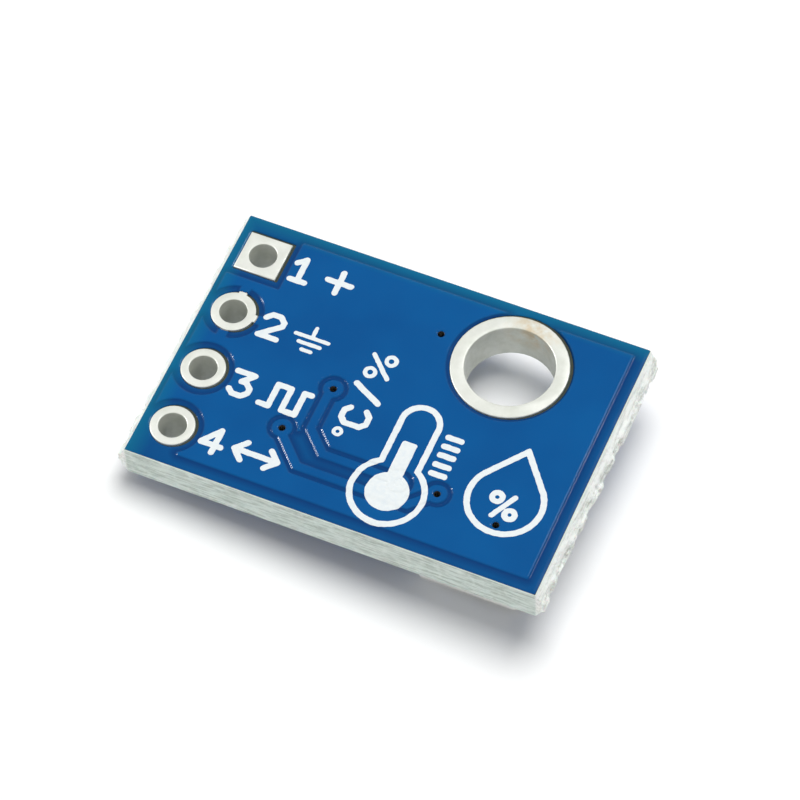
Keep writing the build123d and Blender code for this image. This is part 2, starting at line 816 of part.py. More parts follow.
cavity_reach = sensor_length / 2 - sensor_cap_inset - sensor_cap_wall
vent = beside(sensor, 0, sensing_chip_clearance + sensing_chip_size / 2 - cavity_reach)
readout = beside(sensor, 0, cavity_reach - readout_chip_clearance - readout_chip_length / 2)
with BuildPart() as sensor_cap:
    with BuildSketch(Plane.XY.offset(base_bottom)):
        add(package_outline(sensor_cap_inset, sensor_cap_corner))
    extrude(amount=-sensor_cap_height)
    chamfer(sensor_cap.faces().sort_by(Axis.Z)[0].outer_wire().edges(), sensor_cap_edge)
    with BuildSketch(Plane.XY.offset(base_bottom)):
        add(package_outline(sensor_cap_inset + sensor_cap_wall))
    extrude(amount=sensor_cap_roof - sensor_cap_height, mode=Mode.SUBTRACT)
    with BuildSketch(Plane.XY):
        with Locations(vent):
            Rectangle(sensor_vent_width, sensor_vent_length)
    extrude(amount=sensor_cap_roof, mode=Mode.SUBTRACT)
    mouth = sensor_cap.faces().sort_by(Axis.Z)[0].inner_wires()[0].edges()
    chamfer(mouth, sensor_vent_edge)

with BuildPart() as sensing_chip:
    with BuildSketch(Plane.XY.offset(base_bottom)):
        with Locations(vent):
            Rectangle(sensing_chip_size, sensing_chip_size)
    extrude(amount=-chip_thickness)

with BuildPart() as readout_chip:
    with BuildSketch(Plane.XY.offset(base_bottom)):
        with Locations(readout):
            Rectangle(readout_chip_width, readout_chip_length)
    extrude(amount=-chip_thickness)


# Leads and solder share one way of drawing: outwards along the board and down from it
def section_at(place, outward):
    """Upright plane through a terminal: X leads outwards from its package, Y downwards."""
    across = Vector(*outward).cross(Vector(0, 0, -1))
    return Plane(origin=(place[0], place[1], seat_z), x_dir=outward, z_dir=across)


def lead_route(package_width, package_height, span):
    """Middle line of a gull-wing lead, from inside its package out to its toe."""
    exit_drop = package_standoff + package_height / 2
    foot_drop = lead_thickness / 2
    knee = span / 2 - foot_share * (span - package_width) / 2
    return [
        (package_width / 2 - lead_bury, exit_drop),
        (knee - lead_bend, exit_drop),
        (knee, exit_drop - lead_bend),
        (knee, foot_drop + lead_bend),
        (knee + lead_bend, foot_drop),
        (span / 2, foot_drop),
    ]


def fillet_of_solder(start, reach, rise):
    """Hollow-faced wedge of solder that runs up a terminal's end."""
    with BuildSketch(mode=Mode.PRIVATE) as wedge:
        with BuildLine():
            Polyline((start, rise), (start, 0), (start + reach, 0))
            ThreePointArc(
                (start + reach, 0),
                (start + 0.4 * reach, 0.4 * rise),
                (start, rise),
            )
        make_face()
    return wedge.sketch


def leaded(place, feet, along_x):
    """Planes of a package's leads, from its (offset, side) feet."""
    planes = []
    for offset, side in feet:
        if along_x:
            planes.append(section_at(beside(place, 0, offset), (side, 0, 0)))
        else:
            planes.append(section_at(beside(place, offset, 0), (0, side, 0)))
    return planes


# Voltage regulator
regulator_planes = leaded(regulator, regulator_feet, along_x=False)
regulator_route = lead_route(regulator_width, regulator_height, regulator_span)
regulator_bend = run(regulator_route, lead_thickness)
regulator_wedge = fillet_of_solder(regulator_span / 2, lead_solder_run, lead_thickness)
with BuildPart() as regulator_leads:
    for plane in regulator_planes:
        with BuildSketch(plane):
            add(regulator_bend)
        extrude(amount=regulator_lead_width / 2, both=True)

with BuildPart() as regulator_body:
    with BuildSketch(Plane.XY.offset(seat_z - package_standoff - regulator_height / 2)):
        with Locations(regulator):
            Rectangle(regulator_length, regulator_width)
    extrude(amount=regulator_height / 2, both=True, taper=package_draft)
    add(regulator_leads.part, mode=Mode.SUBTRACT)

with BuildPart() as regulator_solder:
    for plane in regulator_planes:
        with BuildSketch(plane):
            add(regulator_wedge)
        extrude(amount=regulator_lead_width / 2, both=True)

# Level shifter
shifter_planes = leaded(shifter, shifter_feet, along_x=True)
shifter_route = lead_route(shifter_width, shifter_height, shifter_span)
shifter_bend = run(shifter_route, lead_thickness)
shifter_wedge = fillet_of_solder(shifter_span / 2, lead_solder_run, lead_thickness)
with BuildPart() as shifter_leads:
    for plane in shifter_planes:
        with BuildSketch(plane):
            add(shifter_bend)
        extrude(amount=shifter_lead_width / 2, both=True)

with BuildPart() as shifter_body:
    with BuildSketch(Plane.XY.offset(seat_z - package_standoff - shifter_height / 2)):
        with Locations(shifter):
            Rectangle(shifter_width, shifter_length)
    extrude(amount=shifter_height / 2, both=True, taper=package_draft)
    add(shifter_leads.part, mode=Mode.SUBTRACT)

with BuildPart() as shifter_solder:
    for plane in shifter_planes:
        with BuildSketch(plane):
            add(shifter_wedge)
        extrude(amount=shifter_lead_width / 2, both=True)

# Sensor joints
sensor_planes = [section_at(notch, (side, 0, 0)) for notch, (row, side) in zip(notches, sensor_feet)]
sensor_wedge = fillet_of_solder(0, solder_run, sensor_solder_rise)
with BuildPart() as sensor_solder:
    for plane in sensor_planes:
        with BuildSketch(plane):
            add(sensor_wedge)
        extrude(amount=sensor_terminal_width / 2, both=True)


# Chip resistors and capacitors
upright_capacitors = [sensor_capacitor]
level_capacitors = [input_capacitor, output_capacitor]
end_middle = (chip_part_length - terminal_reach) / 2


def ends(places, upright):
    """Middles of both terminals of each chip part."""
    if upright:
        return [beside(place, 0, end * end_middle) for place in places for end in (-1, 1)]
    return [beside(place, end * end_middle, 0) for place in places for end in (-1, 1)]


with BuildPart() as resistor_cores:
    with BuildSketch(Plane.XY.offset(seat_z - terminal_thickness)):
        add(plates(resistors, chip_part_width, chip_part_length - 2 * terminal_thickness))
    extrude(amount=2 * terminal_thickness - resistor_height)

with BuildPart() as resistor_terminals:
    with BuildSketch(Plane.XY.offset(seat_z)):
        add(plates(ends(resistors, True), chip_part_width, terminal_reach))
    extrude(amount=-resistor_height)
    add(resistor_cores.part, mode=Mode.SUBTRACT)

core_length = chip_part_length - 2 * terminal_thickness
core_width = chip_part_width - 2 * terminal_thickness
with BuildPart() as capacitor_cores:
    with BuildSketch(Plane.XY.offset(seat_z - terminal_thickness)):
        add(plates(level_capacitors, core_length, core_width))
        add(plates(upright_capacitors, core_width, core_length))
    extrude(amount=2 * terminal_thickness - capacitor_height)

with BuildPart() as capacitor_terminals:
    with BuildSketch(Plane.XY.offset(seat_z)):
        add(plates(ends(level_capacitors, False), terminal_reach, chip_part_width))
        add(plates(ends(upright_capacitors, True), chip_part_width, terminal_reach))
    extrude(amount=-capacitor_height)
    add(capacitor_cores.part, mode=Mode.SUBTRACT)


def chip_planes(places, upright):
    """Planes of the solder joints at both ends of each chip part."""
    planes = []
    for place in places:
        for end in (-1, 1):
            reach = end * chip_part_length / 2
            if upright:
                planes.append(section_at(beside(place, 0, reach), (0, end, 0)))
            else:
                planes.append(section_at(beside(place, reach, 0), (end, 0, 0)))
    return planes


resistor_wedge = fillet_of_solder(0, solder_run, solder_share * resistor_height)
capacitor_wedge = fillet_of_solder(0, solder_run, solder_share * capacitor_height)
with BuildPart() as resistor_solder:
    for plane in chip_planes(resistors, True):
        with BuildSketch(plane):
            add(resistor_wedge)
        extrude(amount=chip_part_width / 2, both=True)

with BuildPart() as capacitor_solder:
    for plane in chip_planes(level_capacitors, False) + chip_planes(upright_capacitors, True):
        with BuildSketch(plane):
            add(capacitor_wedge)
        extrude(amount=chip_part_width / 2, both=True)


# One file for each piece, or group of like pieces
pieces = {
    "laminate": laminate,
    "top_ground_pour": top_ground_pour,
    "top_clock_track": top_clock_track,
    "top_data_track": top_data_track,
    "bottom_ground_pour": bottom_ground_pour,
    "solder_mask_top": solder_mask_top,
    "solder_mask_bottom": solder_mask_bottom,
    "screw_barrel": screw_barrel,
    "via_barrels": via_barrels,
    "sensor_base": sensor_base,
    "sensor_terminals": sensor_terminals,
    "sensor_cap": sensor_cap,
    "sensing_chip": sensing_chip,
    "readout_chip": readout_chip,
    "sensor_solder": sensor_solder,
    "regulator_body": regulator_body,
    "regulator_leads": regulator_leads,
    "regulator_solder": regulator_solder,
    "shifter_body": shifter_body,
    "shifter_leads": shifter_leads,
    "shifter_solder": shifter_solder,
    "resistor_cores": resistor_cores,
    "resistor_terminals": resistor_terminals,
    "resistor_solder": resistor_solder,
    "capacitor_cores": capacitor_cores,
    "capacitor_terminals": capacitor_terminals,
    "capacitor_solder": capacitor_solder,
}
for name, piece in pieces.items():
    piece.part.label = name
    export_step(piece.part, f"parts/{name}.step")
for part in underside_tracks + barrels:
    export_step(part, f"parts/{part.label}.step")
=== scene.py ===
# %% The frame
import math
import bmesh
import bpy
import numpy as np
from mathutils import Matrix, Vector, noise


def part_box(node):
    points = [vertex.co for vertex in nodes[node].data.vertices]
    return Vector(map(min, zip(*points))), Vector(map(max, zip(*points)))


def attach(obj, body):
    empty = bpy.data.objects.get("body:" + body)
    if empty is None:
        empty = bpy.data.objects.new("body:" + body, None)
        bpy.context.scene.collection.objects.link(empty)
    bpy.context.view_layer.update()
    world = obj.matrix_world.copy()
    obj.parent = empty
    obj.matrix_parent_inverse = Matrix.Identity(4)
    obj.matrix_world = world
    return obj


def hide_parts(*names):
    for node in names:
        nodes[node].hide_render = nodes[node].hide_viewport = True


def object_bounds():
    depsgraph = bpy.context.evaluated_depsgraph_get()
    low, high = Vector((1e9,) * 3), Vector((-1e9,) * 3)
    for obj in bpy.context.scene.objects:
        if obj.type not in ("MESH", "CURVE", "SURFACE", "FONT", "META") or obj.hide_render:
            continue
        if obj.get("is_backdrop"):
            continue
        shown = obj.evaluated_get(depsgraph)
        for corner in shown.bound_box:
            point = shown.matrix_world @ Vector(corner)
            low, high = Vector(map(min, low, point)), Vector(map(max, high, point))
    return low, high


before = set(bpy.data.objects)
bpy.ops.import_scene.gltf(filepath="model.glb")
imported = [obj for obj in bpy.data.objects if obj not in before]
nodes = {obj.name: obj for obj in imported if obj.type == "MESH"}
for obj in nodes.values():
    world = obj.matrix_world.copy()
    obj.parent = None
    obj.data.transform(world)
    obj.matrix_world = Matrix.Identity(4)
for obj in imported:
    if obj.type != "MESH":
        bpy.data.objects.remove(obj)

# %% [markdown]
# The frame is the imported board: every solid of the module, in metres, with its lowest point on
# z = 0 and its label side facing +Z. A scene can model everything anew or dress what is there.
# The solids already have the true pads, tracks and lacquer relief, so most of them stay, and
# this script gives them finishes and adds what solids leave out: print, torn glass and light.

MM = 0.001
WELD = 1e-7  # metres, points closer than this are one
solid_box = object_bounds()
print("solid model, mm:", [[round(c / MM, 3) for c in corner] for corner in solid_box])

# %% [markdown]
# Places on the board are easiest to read from its front left corner, the way a layout drawing
# is dimensioned. The lacquer's own box gives that corner, so nothing is typed twice.

# %% Board coordinates
film_low, film_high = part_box("solder_mask_top")
LEFT, RIGHT = film_low.x / MM, film_high.x / MM
FRONT, BACK = film_low.y / MM, film_high.y / MM
FILM_TOP = film_high.z / MM
FILM_STEP = 0.04  # the film steps down by this where the copper below it ends
glass_low, glass_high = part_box("laminate")
GLASS_LEFT, GLASS_RIGHT = glass_low.x / MM, glass_high.x / MM
GLASS_BOTTOM, GLASS_TOP = glass_low.z / MM, glass_high.z / MM
ring_low, ring_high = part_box("screw_barrel")
SCREW = ((ring_low.x + ring_high.x) / 2 / MM, (ring_low.y + ring_high.y) / 2 / MM)
print("face", round(RIGHT - LEFT, 3), "by", round(BACK - FRONT, 3), "mm; screw hole at",
      [round(c, 3) for c in SCREW])

# %% [markdown]
# The photograph looks down on the board from the front right, from far away with a long lens,
# so its edges stay almost parallel. A camera can be aimed by eye or solved: this one was solved
# from the corners and holes, whose sizes are known, and its matrix is written out below.

# %% Camera
def placed(name, data):
    """An object in the scene for a mesh, a lamp or a camera."""
    made = bpy.data.objects.new(name, data)
    bpy.context.scene.collection.objects.link(made)
    return made


camera_data = bpy.data.cameras.new("long_lens")
camera_data.sensor_width = 36
camera_data.lens = 193.5
camera_data.clip_start, camera_data.clip_end = 0.001, 2.0
camera = placed("camera", camera_data)
bpy.context.scene.camera = camera
image_right = Vector((0.91768, 0.39582, -0.03435))
image_up = Vector((-0.31798, 0.78354, 0.53380))
view_back = Vector((0.23820, -0.47894, 0.84491))
turn = Matrix((image_right, image_up, view_back)).transposed().to_4x4()
camera.matrix_world = Matrix.Translation(Vector((35.828, -71.159, 128.851)) * MM) @ turn
print("camera stands", round(camera.location.length / MM), "mm away")

# %% [markdown]
# Materials come next, because every piece asks for one. Each is a small node graph around a
# Principled shader. A few helpers keep the graphs readable: one adds a node and sets its
# sockets, the others wrap what nearly every finish here needs: noise, a ramp, a mix, a bump.
# All patterns read Object coordinates, which never slide, since each piece is modelled in place.

# %% A helper that adds a node
def knot(tree, kind, settings=None, **sockets):
    """Adds a node. Keyword i0, i1 and so on are sockets by number, the rest by name."""
    node = tree.nodes.new(kind)
    for name, value in (settings or {}).items():
        setattr(node, name, value)
    for name, value in sockets.items():
        socket = node.inputs[int(name[1:]) if name[0] == "i" and name[1:].isdigit() else name]
        if isinstance(value, bpy.types.NodeSocket):
            tree.links.new(value, socket)
        else:
            socket.default_value = value
    return node


# %% Helpers for finishes
class Finish:
    """A material with its nodes at hand."""

    def __init__(self, name, roughness=0.5, metallic=0.0, specular=0.5):
        self.material = bpy.data.materials.new(name)
        self.material.use_nodes = True
        self.tree = self.material.node_tree
        self.shader = self.tree.nodes["Principled BSDF"]
        self.shader.inputs["Roughness"].default_value = roughness
        self.shader.inputs["Metallic"].default_value = metallic
        self.shader.inputs["Specular IOR Level"].default_value = specular
        self.place = self.add("ShaderNodeTexCoord").outputs["Object"]

    def add(self, kind, settings=None, **sockets):
        return knot(self.tree, kind, settings, **sockets)

    def stretched(self, along, across, up):
        """Object coordinates in millimetres, multiplied along each axis."""
        scale = (along / MM, across / MM, up / MM)
        return self.add("ShaderNodeMapping", Vector=self.place, Scale=scale).outputs[0]

    def noise(self, size, detail=3.0, place=None, roughness=0.55):
        """Noise whose patches are about size millimetres across."""
        place = place or self.stretched(1, 1, 1)
        made = self.add("ShaderNodeTexNoise", Vector=place, Scale=1 / size, Detail=detail,
                        Roughness=roughness)
        return made.outputs["Fac"]

    def axis(self, name):
        """One object coordinate, in millimetres."""
        return self.add("ShaderNodeSeparateXYZ", Vector=self.stretched(1, 1, 1)).outputs[name]

    def ramp(self, value, low, high, to_low=0.0, to_high=1.0):
        made = self.add("ShaderNodeMapRange", None, Value=value)
        for name, number in (("From Min", low), ("From Max", high), ("To Min", to_low),
                             ("To Max", to_high)):
            made.inputs[name].default_value = number
        return made.outputs[0]

    def math(self, operation, a, b=0.0):
        return self.add("ShaderNodeMath", {"operation": operation}, i0=a, i1=b).outputs[0]

    def mix(self, factor, a, b):
        made = self.add("ShaderNodeMix", {"data_type": "RGBA"}, i0=factor)
        for socket, value in ((made.inputs[6], a), (made.inputs[7], b)):
            if isinstance(value, bpy.types.NodeSocket):
                self.tree.links.new(value, socket)
            else:
                socket.default_value = (*value, 1.0)
        return made.outputs[2]

    def colour(self, value):
        self.tree.links.new(value, self.shader.inputs["Base Color"])

    def rough(self, value):
        self.tree.links.new(value, self.shader.inputs["Roughness"])

    def bump(self, height, depth, strength=1.0):
        """Relief of the given depth in millimetres."""
        made = self.add("ShaderNodeBump", Height=height, Strength=strength, Distance=depth * MM)
        self.tree.links.new(made.outputs[0], self.shader.inputs["Normal"])


def dress(finish, *names):
    """Puts a finish on pieces of the frame."""
    for name in names:
        piece = nodes[name]
        piece.data.materials.clear()
        piece.data.materials.append(finish.material)
    print(finish.material.name, "on", len(names), "pieces")


# %% [markdown]
# Solder mask is a clear blue lacquer over copper and glass. Where it lies on copper the metal
# shines back through it and it reads a little brighter; in the cleared gaps it lies lower, on
# glass, and reads deeper. A painted mask could follow the tracks, but the film's own height
# already tells them apart, so it picks the colour. Along the left and back edges the film is
# thin and lets the glass through, which turns it teal. Each point of the film also carries its
# distance from the nearest step, so the shader can darken the foot of each step, partly for the
# thicker lacquer that pools there and partly as painted shade in the crease, and sharpen the
# crease above it.

# %% Blue lacquer
lacquer = Finish("blue_lacquer", roughness=0.16, specular=0.09)
over_copper = lacquer.ramp(lacquer.axis("Z"), FILM_TOP - FILM_STEP, FILM_TOP - 0.004)
drift = lacquer.ramp(lacquer.noise(3.2, 2.0), 0.35, 0.65)
bright = lacquer.mix(drift, (0.0006, 0.077, 0.262), (0.0010, 0.090, 0.290))
deep = lacquer.mix(drift, (0.0006, 0.064, 0.216), (0.0008, 0.074, 0.240))
film_blue = lacquer.mix(over_copper, deep, bright)
step_distance = lacquer.add("ShaderNodeAttribute", {"attribute_name": "from_step"}).outputs["Fac"]
# Painted shade: the low side of each step is darkened towards deep blue, partly for thicker pooled
# lacquer and partly for the shade in the crease.
foot_shade_and_pooling = lacquer.math("MULTIPLY", lacquer.ramp(step_distance, -0.30, -0.06),
                      lacquer.ramp(step_distance, 0.02, -0.03, 0.0, 1.0))
film_blue = lacquer.mix(foot_shade_and_pooling, film_blue, (0.0006, 0.043, 0.172))
near_left = lacquer.ramp(lacquer.axis("X"), LEFT + 0.75, LEFT)
near_back = lacquer.ramp(lacquer.axis("Y"), BACK - 0.65, BACK)
teal_share = lacquer.math("MULTIPLY", lacquer.math("MAXIMUM", near_left, near_back), 0.55)
lacquer.colour(lacquer.mix(teal_share, film_blue, (0.004, 0.180, 0.270)))
lacquer.rough(lacquer.ramp(lacquer.noise(0.6, 3.0), 0.3, 0.7, 0.13, 0.20))
relief = lacquer.math("MULTIPLY", lacquer.ramp(step_distance, -0.03, 0.03), 0.018)
orange_peel = lacquer.math("MULTIPLY", lacquer.noise(0.15, 3.0), 0.001)
lacquer.bump(lacquer.math("ADD", relief, orange_peel), 1.0)
print("blue lacquer has", len(lacquer.tree.nodes), "nodes")

# %% [markdown]
# The pads and the ring were dipped in tin and levelled with hot air. That leaves a soft, warm
# white metal, a little thicker in the middle, with faint ripples. A mirror would be wrong: the
# roughness is high and changes slowly, and a broad bump bends the reflections. The rims of the
# solid holes are sharp, so a copy of each is bevelled, with a wider bevel on the wide ring.

# %% Levelled tin
tin = Finish("levelled_tin", roughness=0.46, metallic=0.5, specular=0.4)
tarnish = tin.ramp(tin.noise(0.5, 3.0), 0.35, 0.7)
tin_white = tin.mix(tarnish, (0.71, 0.725, 0.675), (0.62, 0.64, 0.58))
stain_place = (SCREW[0] + 0.25, SCREW[1] + 1.85, GLASS_TOP)
stain_away = tin.add("ShaderNodeVectorMath", {"operation": "DISTANCE"}, i0=tin.stretched(1, 1, 1),
                     i1=stain_place).outputs["Value"]
stain_share = tin.math("MULTIPLY", tin.ramp(stain_away, 1.25, 0.25),
                       tin.ramp(tin.noise(0.35, 4.0), 0.38, 0.62))
tin.colour(tin.mix(stain_share, tin_white, (0.60, 0.51, 0.36)))
tin.rough(tin.ramp(tin.noise(0.25, 4.0), 0.3, 0.7, 0.38, 0.56))
tin.bump(tin.noise(0.35, 3.0), 0.012, 0.4)
print("levelled tin has", len(tin.tree.nodes), "nodes")


# %% Plated holes with rounded tin
def levelled(node, radius):
    """A copy of a plated hole whose tin rounds over its upper and lower rims."""
    work = bmesh.new()
    work.from_mesh(nodes[node].data)
    bmesh.ops.remove_doubles(work, verts=work.verts, dist=WELD)
    bmesh.ops.dissolve_limit(work, angle_limit=math.radians(1), verts=work.verts,
                             edges=work.edges)
    heights = [v.co.z for v in work.verts]
    ends = (min(heights), max(heights))
    rims = [edge for edge in work.edges if edge.calc_face_angle(0) > 1
            and any(all(abs(v.co.z - end) < WELD for v in edge.verts) for end in ends)]
    bmesh.ops.bevel(work, geom=rims, offset=radius * MM, segments=3, profile=0.5,
                    affect="EDGES")
    mesh = bpy.data.meshes.new("levelled_" + node)
    work.to_mesh(mesh)
    work.free()
    mesh.polygons.foreach_set("use_smooth", [True] * len(mesh.polygons))
    mesh.set_sharp_from_angle(angle=math.radians(48))
    mesh.materials.append(tin.material)
    made = placed("levelled_" + node, mesh)
    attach(made, "root")
    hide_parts(node)
    print(made.name, len(rims), "rim edges rounded,", len(mesh.polygons), "faces")


for node, radius in (("pin_barrel_1", 0.035), ("pin_barrel_2", 0.018), ("pin_barrel_3", 0.035),
                     ("pin_barrel_4", 0.035), ("screw_barrel", 0.045)):
    levelled(node, radius)

# %% Copper under the lacquer, vias and tinned leads
foil = Finish("tinned_copper", roughness=0.4, metallic=1.0)
foil.colour(foil.mix(foil.noise(0.2), (0.42, 0.36, 0.28), (0.60, 0.58, 0.52)))
foil.bump(foil.noise(0.08), 0.005, 0.4)
dress(foil, "top_ground_pour", "top_clock_track", "top_data_track", "bottom_ground_pour",
      "supply_track", "regulated_track", "header_clock_track", "header_data_track",
      "sensor_clock_track", "sensor_data_track", "spare_lands", "via_barrels")

lead = Finish("matt_tin_lead", roughness=0.38, metallic=1.0)
lead.colour(lead.mix(lead.noise(0.15), (0.62, 0.62, 0.60), (0.74, 0.74, 0.72)))
lead.bump(lead.noise(0.05), 0.004, 0.4)
dress(lead, "regulator_leads", "shifter_leads", "resistor_terminals", "capacitor_terminals")

joint = Finish("reflowed_solder", roughness=0.22, metallic=1.0)
joint.colour(joint.mix(joint.noise(0.12), (0.66, 0.67, 0.67), (0.80, 0.81, 0.81)))
joint.bump(joint.noise(0.1, 2.0), 0.01, 0.5)
dress(joint, "sensor_solder", "regulator_solder", "shifter_solder", "resistor_solder",
      "capacitor_solder")

# %% [markdown]
# The parts side is hidden in the photograph, but the module can be turned over, so its parts
# are finished too: gold-flashed terminals, a white moulded cap, black epoxy packages with the
# faint grain that mould spark-erosion leaves, fired ceramic and polished silicon.

# %% Finishes of the parts side
under_film = Finish("blue_lacquer_underside", roughness=0.4, specular=0.16)
under_film.colour(under_film.mix(under_film.ramp(under_film.noise(2.5), 0.35, 0.65),
                                 (0.005, 0.085, 0.270), (0.008, 0.110, 0.330)))
under_film.rough(under_film.ramp(under_film.noise(0.6), 0.3, 0.7, 0.34, 0.5))
under_film.bump(under_film.noise(0.12, 4.0), 0.006, 0.35)
dress(under_film, "solder_mask_bottom")

gold = Finish("flash_gold", roughness=0.3, metallic=1.0)
gold.colour(gold.mix(gold.noise(0.2), (0.85, 0.62, 0.28), (0.92, 0.72, 0.38)))
gold.bump(gold.noise(0.06), 0.004, 0.4)
dress(gold, "sensor_terminals")

cap = Finish("white_moulding", roughness=0.45, specular=0.3)
cap.colour(cap.mix(cap.noise(0.8), (0.76, 0.76, 0.73), (0.84, 0.84, 0.81)))
cap.rough(cap.ramp(cap.noise(0.15), 0.3, 0.7, 0.38, 0.55))
cap.bump(cap.noise(0.07, 4.0), 0.006, 0.5)
dress(cap, "sensor_cap")

base = Finish("sensor_substrate", roughness=0.5, specular=0.3)
base.colour(base.mix(base.noise(0.3), (0.020, 0.070, 0.030), (0.032, 0.095, 0.045)))
base.bump(base.noise(0.08), 0.004, 0.4)
dress(base, "sensor_base")

silicon = Finish("polished_silicon", roughness=0.12, metallic=0.6)
silicon.colour(silicon.mix(silicon.noise(0.15, 1.0), (0.10, 0.11, 0.15), (0.16, 0.15, 0.19)))
silicon.bump(silicon.noise(0.1), 0.001, 0.2)
dress(silicon, "sensing_chip", "readout_chip")

epoxy = Finish("black_epoxy", roughness=0.55, specular=0.35)
epoxy.colour(epoxy.mix(epoxy.noise(0.2), (0.012, 0.012, 0.013), (0.022, 0.022, 0.024)))
epoxy.rough(epoxy.ramp(epoxy.noise(0.1), 0.3, 0.7, 0.48, 0.66))
epoxy.bump(epoxy.noise(0.03, 4.0), 0.004, 0.7)
dress(epoxy, "regulator_body", "shifter_body")

brown = Finish("fired_tan_ceramic", roughness=0.5, specular=0.3)
brown.colour(brown.mix(brown.noise(0.15), (0.33, 0.22, 0.12), (0.42, 0.29, 0.17)))
brown.bump(brown.noise(0.05), 0.003, 0.5)
dress(brown, "capacitor_cores")

# %% [markdown]
# A chip resistor is white alumina with a black glass coat over the film on its outer face. The
# coat covers one face only, so the height of the piece decides between the two finishes.

# %% Resistor cores
resistor_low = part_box("resistor_cores")[0]
alumina = Finish("alumina_and_glass_coat", roughness=0.35, specular=0.4)
above_coat = alumina.ramp(alumina.axis("Z"), resistor_low.z / MM + 0.02, resistor_low.z / MM + 0.04)
pale = alumina.mix(alumina.noise(0.1), (0.70, 0.70, 0.68), (0.80, 0.80, 0.78))
dark = alumina.mix(alumina.noise(0.1), (0.012, 0.012, 0.014), (0.024, 0.024, 0.028))
alumina.colour(alumina.mix(above_coat, dark, pale))
alumina.bump(alumina.noise(0.05), 0.003, 0.4)
dress(alumina, "resistor_cores")

# %% [markdown]
# The board itself is woven glass in resin: a grey-green body with bundles of fibre that show as
# pale streaks along the sawn sides. Its two short ends were scored and snapped off, so they end
# in a torn ridge. A solid with straight scores can't show that, so this piece replaces it: a
# band of rows and columns runs right round the board, and the columns of the two ends are pulled
# about by noise, most on the ridge. The top and bottom are filled between the band and the holes
# by a constrained triangulation.

# %% Torn laminate
SCORE_DEPTH, RIDGE_ROWS, SCORE_ROWS, END_COLUMNS, SIDE_COLUMNS = 0.48, 14, 9, 210, 24
face_xs = [v.co.x / MM for v in nodes["laminate"].data.vertices
           if v.co.z / MM > GLASS_TOP - 0.001]
END_LEFT, END_RIGHT = min(face_xs), max(face_xs)


def tear(side, y, z):
    """How far the snapped end stands out of the face's end at this height, in millimetres."""
    reach = (GLASS_RIGHT - END_RIGHT) if side > 0 else (END_LEFT - GLASS_LEFT)
    depth = min(GLASS_TOP - z, z - GLASS_BOTTOM)
    slope = min(1.0, depth / SCORE_DEPTH)
    strands = noise.fractal(Vector((side * 3.1, y * 0.8, z * 5.0)), 0.8, 2.2, 4)
    chunks = noise.fractal(Vector((side * 7.3, y * 1.5, z * 0.8)), 0.9, 2.1, 3)
    grain = noise.fractal(Vector((side * 5.7, y * 8.0, z * 13.0)), 0.8, 2.0, 3)
    blocky = math.tanh(5 * chunks)
    ridge = min(1.0, max(0.0, (depth - 0.30) / 0.25))
    out = reach * (0.74 * slope + 0.02) + ridge * (0.075 * blocky + 0.09 * strands)
    split_z = (GLASS_TOP + GLASS_BOTTOM) / 2 + 0.16 * noise.noise(Vector((y * 0.9, side, 0.5)))
    split_open = max(0.0, min(1.0, 3 * noise.noise(Vector((y * 1.9, side, 4.1)))))
    out -= 0.13 * split_open * math.exp(-((z - split_z) / 0.045) ** 2)
    out += min(1.0, depth / 0.12) * (0.04 * strands + 0.018 * grain)
    return max(0.0, min(reach - 0.01, out))


# %% Band round the board
def column(x_of, y):
    """The rows of one column of the band, from the top face down to the bottom face."""
    heights = list(np.linspace(GLASS_TOP, GLASS_TOP - SCORE_DEPTH, SCORE_ROWS))
    heights += list(np.linspace(GLASS_TOP - SCORE_DEPTH, GLASS_BOTTOM + SCORE_DEPTH,
                                RIDGE_ROWS + 2))[1:-1]
    heights += list(np.linspace(GLASS_BOTTOM + SCORE_DEPTH, GLASS_BOTTOM, SCORE_ROWS))
    return [(x_of(z), y, z) for z in heights]


def left_x(y):
    return lambda z: END_LEFT - tear(-1, y, z)


def right_x(y):
    return lambda z: END_RIGHT + tear(1, y, z)


def side_x(share, y):
    return lambda z: left_x(y)(z) * (1 - share) + right_x(y)(z) * share


columns = [column(side_x(t, FRONT), FRONT) for t in np.linspace(0, 1, SIDE_COLUMNS + 1)[:-1]]
columns += [column(right_x(y), y) for y in np.linspace(FRONT, BACK, END_COLUMNS + 1)[:-1]]
columns += [column(side_x(1 - t, BACK), BACK) for t in np.linspace(0, 1, SIDE_COLUMNS + 1)[:-1]]
columns += [column(left_x(y), y) for y in np.linspace(BACK, FRONT, END_COLUMNS + 1)[:-1]]
print("band of", len(columns), "columns and", len(columns[0]), "rows")

# %% [markdown]
# The holes are read from the plated barrels of the frame: each barrel's box gives the middle,
# and the drilled radius lies halfway through its thin wall, so no crack shows between them.

# %% Holes and faces of the laminate
from mathutils.geometry import delaunay_2d_cdt

INTO_PLATING = 0.012


def barrels_of(node):
    """Middle and inner radius of each plated hole in a node, in millimetres."""
    mesh = bmesh.new()
    mesh.from_mesh(nodes[node].data)
    bmesh.ops.remove_doubles(mesh, verts=mesh.verts, dist=WELD)
    found = []
    left_over = set(mesh.verts)
    while left_over:
        group, queue = set(), [left_over.pop()]
        while queue:
            v = queue.pop()
            group.add(v)
            for edge in v.link_edges:
                other = edge.other_vert(v)
                if other in left_over:
                    left_over.discard(other)
                    queue.append(other)
        points = np.array([v.co[:2] for v in group]) / MM
        middle = (points.min(0) + points.max(0)) / 2
        away = np.hypot(*(points - middle).T)
        bore = points[away < 1.3 * away.min()]
        middle = (bore.min(0) + bore.max(0)) / 2
        radius = np.hypot(*(points - middle).T).min()
        found.append((float(middle[0]), float(middle[1]), float(radius)))
    mesh.free()
    return found


